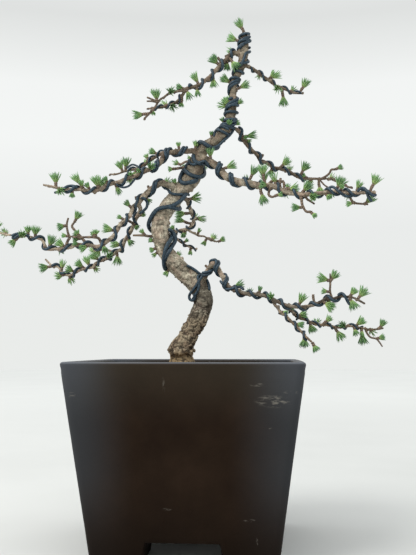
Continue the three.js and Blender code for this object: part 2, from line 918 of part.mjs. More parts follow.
function spineThrough(knots, radii, reference) {
  const curve = new THREE.CatmullRomCurve3(knots, false, 'catmullrom', 0.5);
  const count = (knots.length - 1) * FINE;
  const samples = [];
  let across = reference.clone();
  let distance = 0;
  for (let i = 0; i <= count; i += 1) {
    const t = i / count;
    const point = curve.getPoint(t);
    const along = curve.getTangent(t);
    across = across.clone().addScaledVector(along, -across.dot(along)).normalize();
    const side = along.clone().cross(across);
    const row = Math.min(Math.floor(i / FINE), radii.length - 2);
    const radius = THREE.MathUtils.lerp(radii[row], radii[row + 1], i / FINE - row);
    if (i > 0) distance += point.distanceTo(samples[i - 1].point);
    samples.push({ point, along, across, side, radius, distance });
  }
  return { samples };
}

// The sample of a spine that comes first in some measure.
function leastOf(spine, measure) {
  return spine.samples.reduce((best, sample) => (measure(sample) < measure(best) ? sample : best));
}

function sampleAt(spine, distance) {
  return leastOf(spine, (sample) => Math.abs(sample.distance - distance));
}

function sampleNear(spine, point) {
  return leastOf(spine, (sample) => sample.point.distanceTo(point));
}

// A direction across a spine, at an angle in degrees from its reference.
function outward(sample, angle) {
  const turn = THREE.MathUtils.degToRad(angle);
  return sample.across
    .clone()
    .multiplyScalar(Math.cos(turn))
    .addScaledVector(sample.side, Math.sin(turn));
}

// ---------------------------------------------------------------- solids

function solidOf(geometry) {
  const bare = geometry.clone();
  bare.deleteAttribute('normal');
  bare.deleteAttribute('uv');
  const merged = mergeVertices(bare, 1e-4);
  const mesh = new wasm.Mesh({
    numProp: 3,
    vertProperties: merged.attributes.position.array,
    triVerts: new Uint32Array(merged.index.array),
  });
  return new wasm.Manifold(mesh);
}

function geometryOf(solid) {
  const mesh = solid.getMesh();
  const geometry = new THREE.BufferGeometry();
  geometry.setAttribute('position', new THREE.BufferAttribute(mesh.vertProperties, 3));
  geometry.setIndex(new THREE.BufferAttribute(mesh.triVerts, 1));
  return geometry;
}

// A polygon of a given number of corners on the unit circle.
function unitPolygon(sides) {
  const corners = [];
  for (let i = 0; i < sides; i += 1) {
    const turn = (i / sides) * Math.PI * 2;
    corners.push(new THREE.Vector2(Math.cos(turn), Math.sin(turn)));
  }
  return new THREE.Shape(corners);
}

// A straight prism with one ring of corners for each station, and the number of each corner's ring.
function ringedPrism(sides, rings) {
  const options = { depth: rings - 1, steps: rings - 1, bevelEnabled: false };
  const prism = new THREE.ExtrudeGeometry(unitPolygon(sides), options);
  prism.deleteAttribute('normal');
  prism.deleteAttribute('uv');
  const geometry = mergeVertices(prism, 1e-4);
  const position = geometry.attributes.position;
  const ringOf = Array.from({ length: position.count }, (_, i) => Math.round(position.getZ(i)));
  return { geometry, ringOf };
}

// A tube through stations, each with its own centre, cross directions and radius.
function tubeThrough(stations, sides, extra = 0) {
  const tube = ringedPrism(sides, stations.length);
  const position = tube.geometry.attributes.position;
  tube.ringOf.forEach((ring, i) => {
    const { point, across, side, radius } = stations[ring];
    const place = point
      .clone()
      .addScaledVector(across, position.getX(i) * (radius + extra))
      .addScaledVector(side, position.getY(i) * (radius + extra));
    position.setXYZ(i, place.x, place.y, place.z);
  });
  return tube;
}

// Raises every face above the last ring but one to a needle: a long thin point that leads away from a centre
// inside.
function withNeedles({ geometry, ringOf }, centre, random) {
  const position = geometry.attributes.position;
  const band = Math.max(...ringOf) - 1;
  const corners = Array.from(position.array);
  const faces = [];
  for (let i = 0; i < geometry.index.count; i += 3) {
    const face = [0, 1, 2].map((k) => geometry.index.getX(i + k));
    if (face.some((corner) => ringOf[corner] < band)) {
      faces.push(face);
      continue;
    }
    const weights = face.map(() => 1 + random() * NEEDLE_WANDER);
    const total = weights[0] + weights[1] + weights[2];
    const tip = new THREE.Vector3();
    face.forEach((corner, k) => {
      tip.addScaledVector(new THREE.Vector3().fromBufferAttribute(position, corner), weights[k] / total);
    });
    const length = NEEDLE_LENGTH * (1 + NEEDLE_VARIETY * (random() * 2 - 1));
    tip.sub(centre).setLength(length).add(centre);
    const apex = corners.length / 3;
    corners.push(tip.x, tip.y, tip.z);
    faces.push([face[0], face[1], apex], [face[1], face[2], apex], [face[2], face[0], apex]);
  }
  const needled = new THREE.BufferGeometry();
  needled.setAttribute('position', new THREE.Float32BufferAttribute(corners, 3));
  needled.setIndex(faces.flat());
  return solidOf(needled);
}

function stationAt(station, along, distance, radius) {
  return { ...station, point: station.point.clone().addScaledVector(along, distance), radius };
}

// Thicker limbs are rounder.
function sidesOf(spine) {
  const radius = spine.samples[0].radius;
  if (radius > THICK_LIMB) return 6;
  return radius > THIN_LIMB ? 5 : 4;
}

function limb(spine, sides) {
  const stations = spine.samples.filter((sample, i) => i % FINE === 0);
  return solidOf(tubeThrough(stations, sides).geometry);
}

// A short spur with needles on its top.
function tuft(sample, direction, sunk, reach, random) {
  const across = sample.along.clone().addScaledVector(direction, -sample.along.dot(direction)).normalize();
  const base = { point: sample.point, across, side: direction.clone().cross(across) };
  const stations = [
    stationAt(base, direction, sunk, SPUR_FOOT),
    stationAt(base, direction, reach - SPUR_BAND, SPUR_RADIUS),
    stationAt(base, direction, reach, SPUR_RADIUS),
  ];
  const centre = stationAt(base, direction, reach - NEEDLE_ORIGIN, 0).point;
  return withNeedles(tubeThrough(stations, SPUR_SIDES), centre, random);
}

function box(width, depth, height, x, y, z) {
  const geometry = new THREE.BoxGeometry(width, depth, height);
  geometry.translate(x, y, z + height / 2);
  return solidOf(geometry);
}

// A block between two heights with the pot's rounded corners and lean, its sides a given inset inside the
// pot's own.
function taperedBlock(inset, bottom, top) {
  const half = POT_WIDTH / 2;
  const corner = POT_CORNER;
  const outline = new THREE.Shape();
  outline.moveTo(-half + corner, -half);
  outline.lineTo(half - corner, -half);
  outline.absarc(half - corner, -half + corner, corner, -Math.PI / 2, 0);
  outline.absarc(half - corner, half - corner, corner, 0, Math.PI / 2);
  outline.absarc(-half + corner, half - corner, corner, Math.PI / 2, Math.PI);
  outline.absarc(-half + corner, -half + corner, corner, Math.PI, Math.PI * 1.5);
  const depth = top - bottom;
  const geometry = new THREE.ExtrudeGeometry(outline, { depth, bevelEnabled: false, curveSegments: 4 });
  const position = geometry.attributes.position;
  for (let i = 0; i < position.count; i += 1) {
    const z = position.getZ(i) + bottom;
    const scale = (half - inset - (POT_HEIGHT - z) * POT_TAPER) / half;
    position.setXYZ(i, position.getX(i) * scale, position.getY(i) * scale, z);
  }
  return solidOf(geometry);
}

// ---------------------------------------------- pot, mesh and soil, round the pot's own middle

function makePot() {
  const floorTop = FOOT_HEIGHT + POT_FLOOR;
  const drain = new THREE.CylinderGeometry(DRAIN_RADIUS, DRAIN_RADIUS, POT_HEIGHT, 16);
  drain.rotateX(Math.PI / 2);
  return taperedBlock(0, 0, POT_HEIGHT)
    .subtract(taperedBlock(POT_WALL, floorTop, POT_HEIGHT + 1))
    .add(rimBand())
    .subtract(box(FOOT_NOTCH, POT_WIDTH * 2, FOOT_HEIGHT, 0, 0, 0))
    .subtract(box(POT_WIDTH * 2, FOOT_NOTCH, FOOT_HEIGHT, 0, 0, 0))
    .subtract(solidOf(drain));
}

// The thicker band round the inside of the rim.
function rimBand() {
  const bottom = POT_HEIGHT - RIM_HEIGHT;
  return taperedBlock(POT_WALL / 2, bottom, POT_HEIGHT).subtract(
    taperedBlock(RIM_WALL, bottom - 1, POT_HEIGHT + 1),
  );
}

function makeDrainageMesh() {
  const base = FOOT_HEIGHT + POT_FLOOR + GAP;
  const pitch = MESH_CELL + MESH_BAR;
  let mesh = box(MESH_WIDTH, MESH_WIDTH, MESH_THICKNESS, 0, 0, base);
  for (let i = 0; i < MESH_CELLS; i += 1) {
    for (let j = 0; j < MESH_CELLS; j += 1) {
      const x = (i - (MESH_CELLS - 1) / 2) * pitch;
      const y = (j - (MESH_CELLS - 1) / 2) * pitch;
      mesh = mesh.subtract(box(MESH_CELL, MESH_CELL, MESH_THICKNESS * 3, x, y, base - MESH_THICKNESS));
    }
  }
  return mesh;
}

// How high the soil stands: a low mound at the trunk and small lumps from a repeatable draw.
function soilHeight(x, y, random) {
  const stem = TRUNK[0][0] - POT_X;
  const reach = Math.hypot(x - stem, y) / SOIL_MOUND_REACH;
  return SOIL_TOP + SOIL_MOUND * Math.exp(-reach * reach) + (random() - 0.5) * 2 * SOIL_ROUGHNESS;
}

function makeSoil(trunkSpine) {
  const bottom = FOOT_HEIGHT + POT_FLOOR + GAP * 2 + MESH_THICKNESS;
  const inset = RIM_WALL + GAP;
  const random = seeded(11);
  const block = new THREE.BoxGeometry(POT_WIDTH, POT_WIDTH, POT_HEIGHT * 2, SOIL_GRID, SOIL_GRID, 1);
  block.deleteAttribute('normal');
  block.deleteAttribute('uv');
  const merged = mergeVertices(block);
  const position = merged.attributes.position;
  for (let i = 0; i < position.count; i += 1) {
    if (position.getZ(i) > 0) position.setZ(i, soilHeight(position.getX(i), position.getY(i), random));
  }
  const height = SOIL_TOP + SOIL_HEADROOM;
  const hole = trunkSpine.samples
    .filter((sample, i) => i % FINE === 0 && sample.point.z < height)
    .map((sample) => ({ ...sample, point: sample.point.clone().setX(sample.point.x - POT_X) }));
  const below = { ...hole[0], point: hole[0].point.clone().setZ(ROOT_DEPTH - GAP) };
  return taperedBlock(inset, bottom, height)
    .intersect(solidOf(merged))
    .subtract(solidOf(tubeThrough([below, ...hole], sidesOf(trunkSpine), HOLE_CLEARANCE).geometry));
}

// ---------------------------------------------------------------- tree and wires

const spines = { trunk: spineOf(TRUNK, RIGHT) };

function grow(name, rows, parent) {
  const first = placed(rows[0][0], rows[0][1], rows[0][2]);
  spines[name] = spineOf(rows, UP, sampleNear(spines[parent], first).point);
}

grow('top_left', TOP_LEFT, 'trunk');
grow('top_left_upper', TOP_LEFT_UPPER, 'top_left');
grow('top_left_lower', TOP_LEFT_LOWER, 'top_left');
grow('top_right', TOP_RIGHT, 'trunk');
grow('left_high', LEFT_HIGH, 'trunk');
grow('left_high_fork', LEFT_HIGH_FORK, 'left_high');
grow('left_low', LEFT_LOW, 'trunk');
grow('left_low_front', LEFT_LOW_FRONT, 'left_low');
grow('left_low_back', LEFT_LOW_BACK, 'left_low');
grow('back', BACK, 'trunk');
grow('back_right', BACK_RIGHT, 'back');
grow('back_upper', BACK_UPPER, 'trunk');
grow('right_high', RIGHT_HIGH, 'trunk');
grow('right_main', RIGHT_MAIN, 'trunk');
grow('right_low', RIGHT_LOW, 'trunk');
grow('right_low_fork', RIGHT_LOW_FORK, 'right_low');
grow('right_low_front', RIGHT_LOW_FRONT, 'right_low');

// The stations of one run: distances along its spine, with the angle of the wire at each.
function stationsOf(run) {
  if (run.at) return run.at;
  const count = Math.round(((run.to - run.from) / run.pitch) * WIRE_STEPS);
  return Array.from({ length: count + 1 }, (_, i) => {
    const distance = THREE.MathUtils.lerp(run.from, run.to, i / count);
    return [distance, (run.hand * 360 * (distance - run.top)) / run.pitch];
  });
}

// A wire's centre line, as points just clear of the bark.
function wirePoints(wire) {
  return wire.runs.flatMap((run) =>
    stationsOf(run).map(([distance, angle]) => {
      const sample = sampleAt(spines[run.on], distance);
      const reach = sample.radius * WIRE_STANDOFF + wire.radius + GAP * 2;
      return sample.point.clone().addScaledVector(outward(sample, angle), reach);
    }),
  );
}

// The wire as a tube, with one ring at each of its points.
function wireSolid(wire) {
  const points = wirePoints(wire);
  let across = UP.clone();
  const stations = points.map((point, i) => {
    const next = points[Math.min(i + 1, points.length - 1)];
    const along = next.clone().sub(points[Math.max(i - 1, 0)]).normalize();
    across = across.clone().addScaledVector(along, -across.dot(along)).normalize();
    return { point, across, side: along.clone().cross(across), radius: wire.radius };
  });
  return solidOf(tubeThrough(stations, WIRE_SIDES).geometry);
}

// Points close together along every wire, each with its wire's radius.
const wireTrail = WIRES.flatMap((wire) => {
  const points = wirePoints(wire);
  return points.slice(1).flatMap((point, i) =>
    Array.from({ length: WIRE_CHECKS }, (_, k) => ({
      point: points[i].clone().lerp(point, k / WIRE_CHECKS),
      radius: wire.radius,
    })),
  );
});

function stemIsClear(from, to, radius) {
  const line = new THREE.Line3(from, to);
  const closest = new THREE.Vector3();
  return wireTrail.every(({ point, radius: wireRadius }) => {
    line.closestPointToPoint(point, true, closest);
    return closest.distanceTo(point) > radius + wireRadius + GAP * 2;
  });
}

// Points along every branch, each with the branch's radius there.
const barkTrail = Object.values(spines).flatMap((spine) => spine.samples.filter((sample, i) => i % 2 === 0));

// Whether the cone that a tuft's needles fill is clear of a trail of points.
function needlesClear(top, direction, trail, gap) {
  return trail.every(({ point, radius }) => {
    const offset = point.clone().sub(top);
    const ahead = offset.dot(direction);
    if (ahead < -radius || ahead > NEEDLE_LENGTH + radius) return true;
    const aside = offset.addScaledVector(direction, -ahead).length();
    return aside > Math.max(ahead, 0) * NEEDLE_SPREAD + SPUR_RADIUS + radius + gap;
  });
}

// Moves a shoot along its branch, then lifts it off and turns it round, in the smallest steps that clear the
// wires.
function clearPlace(spine, sample, direction, isClear) {
  const off = direction.clone().addScaledVector(sample.along, -direction.dot(sample.along)).normalize();
  for (const turn of SHOOT_TURNS) {
    for (const lift of SHOOT_LIFTS) {
      const lifted = direction.clone().addScaledVector(off, lift).normalize();
      const turned = lifted.applyAxisAngle(sample.along, THREE.MathUtils.degToRad(turn));
      for (const shift of SHOOT_SHIFTS) {
        const place = sampleAt(spine, sample.distance + shift);
        if (isClear(place, turned)) return { place, direction: turned };
      }
    }
  }
  return null;
}

// A point in space back in the front elevation, as [across, up].
function drawn(point) {
  const k = VIEW_POINT.y / (VIEW_POINT.y - point.y);
  return [VIEW_POINT.x + (point.x - VIEW_POINT.x) * k, VIEW_POINT.z + (point.z - VIEW_POINT.z) * k];
}

// The middle of a tuft's needles.
function headOf(top, direction) {
  return top.clone().addScaledVector(direction, NEEDLE_LENGTH * NEEDLE_MIDDLE);
}

function makeTuft(lines, row, heads, random) {
  const [across, up, dx, dz, dy] = row;
  const reach = Math.hypot(dx, dy, dz);
  const wanted = new THREE.Vector3(dx, dy, dz).divideScalar(reach);
  const awayFrom = (sample) => {
    const [x, z] = drawn(sample.point);
    return Math.hypot(x - across, z - up);
  };
  const nearest = lines.map((line) => ({ line, sample: leastOf(line, awayFrom) }));
  const [{ line, sample: drawnFoot }] = nearest.sort((a, b) => awayFrom(a.sample) - awayFrom(b.sample));
  const lengthAt = (sample) => Math.max(sample.radius + SPUR_REACH, reach - NEEDLE_LENGTH + 1);
  const found = clearPlace(line, drawnFoot, wanted, (sample, direction) => {
    const top = sample.point.clone().addScaledVector(direction, lengthAt(sample));
    const foot = sample.point.clone().addScaledVector(direction, sample.radius);
    if (!stemIsClear(foot, top, SPUR_RADIUS)) return false;
    if (heads.some((head) => head.distanceTo(headOf(top, direction)) < TUFT_ROOM)) return false;
    const shoulder = top.clone().addScaledVector(direction, -SPUR_BAND);
    if (!needlesClear(shoulder, direction, wireTrail, GAP)) return false;
    return needlesClear(top, direction, barkTrail, -SPUR_RADIUS);
  });
  if (!found) return [];
  const { place, direction } = found;
  const isEnd = place === line.samples.at(-1);
  const sunk = (isEnd ? 0 : place.radius) - SPUR_SINK;
  heads.push(headOf(place.point.clone().addScaledVector(direction, lengthAt(place)), direction));
  return [tuft(place, direction, sunk, lengthAt(place), random)];
}

// The centre line of an unwired twig, moved as a whole to where the wires leave it room.
function twigSpine(parent, rows) {
  const knots = rows.map((row) => placed(row[0], row[1], row[2]));
  const nearest = sampleNear(parent, knots[0]);
  const start = knots[1].clone().sub(nearest.point).normalize();
  const spineAt = (sample, direction) => {
    const swing = new THREE.Quaternion().setFromUnitVectors(start, direction);
    const arms = knots.map((knot) => knot.clone().sub(nearest.point).applyQuaternion(swing));
    const turned = arms.map((arm) => arm.add(sample.point));
    turned[0].copy(sample.point);
    return spineThrough(turned, rows.map((row) => row[3]), RIGHT);
  };
  const found = clearPlace(parent, nearest, start, (sample, direction) => {
    const samples = spineAt(sample, direction).samples;
    return samples.slice(1).every((next, i) => stemIsClear(samples[i].point, next.point, next.radius));
  });
  return found ? [spineAt(found.place, found.direction)] : [];
}

function makeTree() {
  const random = seeded(5);
  const limbs = Object.values(spines).map((spine) => limb(spine, sidesOf(spine)));
  // Each limb with the twigs on it.
  const lines = Object.fromEntries(Object.entries(spines).map(([name, spine]) => [name, [spine]]));
  TWIGS.forEach(([parent, rows]) => lines[parent].push(...twigSpine(spines[parent], rows)));
  const twigSpines = Object.values(lines).flatMap((line) => line.slice(1));
  const twigs = twigSpines.map((spine) => limb(spine, TWIG_SIDES));
  const heads = [];
  const tufts = Object.entries(TUFTS).flatMap(([name, rows]) =>
    rows.flatMap((row) => makeTuft(lines[name], row, heads, random)),
  );
  return wasm.Manifold.union([...limbs, ...twigs, ...tufts]);
}

// ---------------------------------------------------------------- materials and scene

function finish(color, roughness, metalness = 0) {
  return new THREE.MeshStandardMaterial({ color, roughness, metalness });
}

const group = new THREE.Group();
const potted = new THREE.Group();
potted.position.x = POT_X;
group.add(potted);

function addPiece(parent, name, solid, material) {
  const mesh = new THREE.Mesh(geometryOf(solid), material);
  mesh.name = name;
  parent.add(mesh);
}

addPiece(potted, 'pot', makePot(), finish('#2b211b', 0.55));
addPiece(potted, 'drainage_mesh', makeDrainageMesh(), finish('#15171a', 0.7));
addPiece(potted, 'soil', makeSoil(spines.trunk), finish('#4b3a2c', 0.95));
addPiece(group, 'tree', makeTree(), finish('#7b6d5c', 0.85));
WIRES.forEach((wire) => addPiece(group, wire.name, wireSolid(wire), finish('#27333b', 0.45, 0.6)));

export default group;
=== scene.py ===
"""Looks of a wired larch bonsai in a square pot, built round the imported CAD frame.

The tables are in millimetres, drawn in a front elevation that is seen from VIEW_POINT. ROUTES, TWIGS and
WIRES are the CAD's own, and TUFTS has all of the CAD's tufts and more. The other tables are only for looks.
"""

import math

import bmesh
import bpy
import numpy as np
from mathutils import Euler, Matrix, Vector, kdtree, noise


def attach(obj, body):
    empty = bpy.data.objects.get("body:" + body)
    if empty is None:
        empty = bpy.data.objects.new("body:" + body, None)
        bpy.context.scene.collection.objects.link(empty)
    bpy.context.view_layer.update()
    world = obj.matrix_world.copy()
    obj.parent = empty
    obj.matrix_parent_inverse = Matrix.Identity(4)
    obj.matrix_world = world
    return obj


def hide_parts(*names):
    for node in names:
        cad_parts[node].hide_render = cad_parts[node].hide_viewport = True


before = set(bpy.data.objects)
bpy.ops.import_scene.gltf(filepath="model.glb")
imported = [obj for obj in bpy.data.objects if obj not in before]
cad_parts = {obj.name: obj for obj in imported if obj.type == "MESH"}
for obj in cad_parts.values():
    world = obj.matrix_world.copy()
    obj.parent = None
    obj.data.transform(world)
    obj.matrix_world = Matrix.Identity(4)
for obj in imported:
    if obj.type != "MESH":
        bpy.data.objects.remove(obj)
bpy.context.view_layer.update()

# ---------------------------------------------------------------- driving dimensions, in mm where not said

MM = 0.001
VIEW_POINT = np.array([69.0, -697.0, 175.0])
UP = np.array([0.0, 0.0, 1.0])
RIGHT = np.array([1.0, 0.0, 0.0])

TRUNK_WIRE = 2.0  # wire radii
BRANCH_WIRE = 1.35
TWIG_WIRE = 1.0
WIRE_STEPS = 8  # drawn stations to a turn
WIRE_FINE = 4  # rings between two stations
WIRE_SIDES = 10
WIRE_SEAT = 0.92  # how much of its own radius a wire stands off the bark
WIRE_END = 0.6  # share of its radius that a wire keeps at its last ring, and at the ring before it
WIRE_NEXT = 0.95

BRANCH_GIRTH = 0.88  # radius of a branch, per radius drawn
LIMB_STEPS = 12  # rings between two places of a route
LIMB_SIDES = 14
LEAST_SKIN_RADIUS = 1.15
SKIN_VOXEL = 0.8  # mesh size of the bark
SKIN_ROUNDS = 2  # how often its points are evened out, and how far each time
SKIN_SHARE = 0.5
KNOB_REACH = 11.0  # how far from the trunk's axis the knobs round its foot lie
KNOB_RINGS = 5
KNOB_SIDES = 8
SWELL_PITCH = 9.0  # spacing of the small swellings along the limbs
SWELL_SIZES = (0.9, 1.5)  # their radius on a thin twig
SWELL_GIRTH = 0.08  # how much larger they are, per radius of the limb
SWELL_RISE = 0.15  # how much of its own radius a swelling's middle lies outside the bark

BARK_WIDTH = 5.5  # width of the bark's plates round a limb
PLATE_LENGTH = 11.0  # and their length along it
BAND_LENGTH = 4.4  # length of the bands between the fine cracks
CRACK_WIDTH = 0.2  # share of a band that its crack takes
CRACK_DEPTH = 0.75
SPLIT_WIDTH = 0.12  # the same for the deeper splits between plates
SPLIT_DEPTH = 0.9
RING_PITCH = 2.3
RING_DEPTH = 0.1
LUMP_SIZES = (15.0, 6.0)  # large and small unevenness of the wood
ROUGH_BELOW = (232, 212)  # the trunk is smoother above the first height, and fully rough below the second
TRUNK_ROUGH = (0.42, 0.58)  # how rough it is above, and how much more below
BRANCH_ROUGH = 0.28

SPUR_RADIUS = 1.5
SPUR_SIDES = 10
SPUR_STEPS = 6
SPUR_PITCH = 1.7  # of the rings on a spur or twig
SPUR_REACH = 2.2  # least length of a spur outside the bark
SPUR_SLIDE = (0, 1, -1, 2, -2, 3, -3, 4, -4, 5, -5)  # moves of a foot, tried in turn to clear the wires
SPUR_BITE = 0.5  # how far a spur may run into a wire and still count as clear
LEAST_NEEDLE = 5.0
MOST_NEEDLE = 10.5
NEEDLE_RADIUS = 0.46
NEEDLE_STEPS = np.array([0.0, 0.3, 0.72, 1.0])  # rings of a needle as shares of its length
NEEDLE_TAPER = np.array([0.7, 1.0, 0.9, 0.15])  # and of its radius
NEEDLE_TURN = 2.4  # radians round the tuft from one needle to the next
NEEDLE_REACH = (0.84, 1.08)  # length of a needle, per length of the tuft
NEEDLE_CURL = (-0.05, 0.12)  # how far it bends outwards, per length of its own
NEEDLES = 28  # in a full tuft
TUFT_RADIUS = 0.95  # at the needles' roots
TUFT_SPREAD = (20, 26)  # lean of its outermost needles, in degrees

POT_WIDTH = 202.5
POT_HEIGHT = 165.0
POT_X = -2.5
POT_TAPER = 0.138
POT_WALL = 6.0
POT_FLOOR = 8.0
POT_CORNER = 8.0
RIM_WALL = 7.5
RIM_HEIGHT = 9.0
FOOT_HEIGHT = 18.0
FOOT_NOTCH = 64.0
NOTCH_SLOPE = 1.5  # half of the width in which the underside rises from a foot to the notch
DRAIN_RADIUS = 13.0

RIM_ROUND = 2.6  # radius of the rim's edges
RIM_GROOVE = 158.0  # height of the faint groove below the rim
RIM_GROOVE_DEPTH = 0.35
RIM_GROOVE_WIDTH = 1.6
FOOT_EDGE = ((1.2, 0.0), (0.35, 0.35), (0.0, 1.2))  # rounded lower edge of the feet as (inset, rise)
FLOOR_EDGE = 4.0  # width of the slope between the inner wall and the floor
POT_BULGE = 1.2  # how far the middle of a side stands out
POT_WOBBLES = ((60.0, 2.0, 0.35), (14.0, 5.0, 0.1))  # unevenness of the outside as (size, seed, depth)
POT_SIDE = 80  # mesh points along a side
POT_ARC = 8  # and round a corner
POT_RINGS = 45  # rings of the outer wall
RIM_STEPS = 4  # between the rings of a rounded edge
UNDERSIDE_PITCH = 2.0  # between the underside's rings

SOIL_TOP = 155.0
SOIL_MOUND = 5.0
SOIL_MOUND_REACH = 34.0
GRAIN_PITCH = 4.0
GRAIN_SIZES = (1.5, 2.7)  # radii of the grains
GRAIN_SQUASH = (0.75, 1.15)  # how far a grain is flattened or drawn out along each axis
GRAIN_ROUGH = 0.09  # how uneven its surface is
GRAIN_RISE = (-0.4, 0.9)  # how high a grain's middle lies over the soil
GRAIN_GAP = 1.5  # between the grains and the pot's inside
GRAINLESS = 13  # radius round the stem that has no grains

LENS = 48
SENSOR = 36
CAMERA_TURN = (95.57, 0, 4.75)  # in degrees
CAMERA_PLACE = VIEW_POINT * MM + [0.0004, 0.0004, 0]  # in metres, as all that follows
FLOOR_RADIUS = 6.0
LIGHT_AIM = (0, 0, 0.28)
LIGHT_SIZE = 1.4
LIGHTS = [  # name, place, power in watts and tint
    ("key", (-1.3, -1.1, 1.7), 34, (1.0, 0.98, 0.95)),
    ("fill", (1.5, -0.8, 1.1), 3, (0.93, 0.97, 1.0)),
]

# The studio's brightness by height over the horizon, from level (0) to straight up (1).
SKY_STRENGTH = 1.3
SKY = [
    (0.0, "#d0d2d0"), (0.16, "#d0d2d1"), (0.27, "#d9dbda"), (0.34, "#d8dad9"), (0.42, "#c6c8c7"),
    (0.6, "#e6e8e8"), (1.0, "#ffffff"),
]


def even(start, end, pitch, top, hand):
    """Stations (distance, angle) of a wire wound evenly along a limb, over its top at the distance `top`."""
    count = round((end - start) / pitch * WIRE_STEPS)
    return [(d, hand * 360 * (d - top) / pitch) for d in np.linspace(start, end, count + 1)]


# ---------------------------------------------------------------- routes

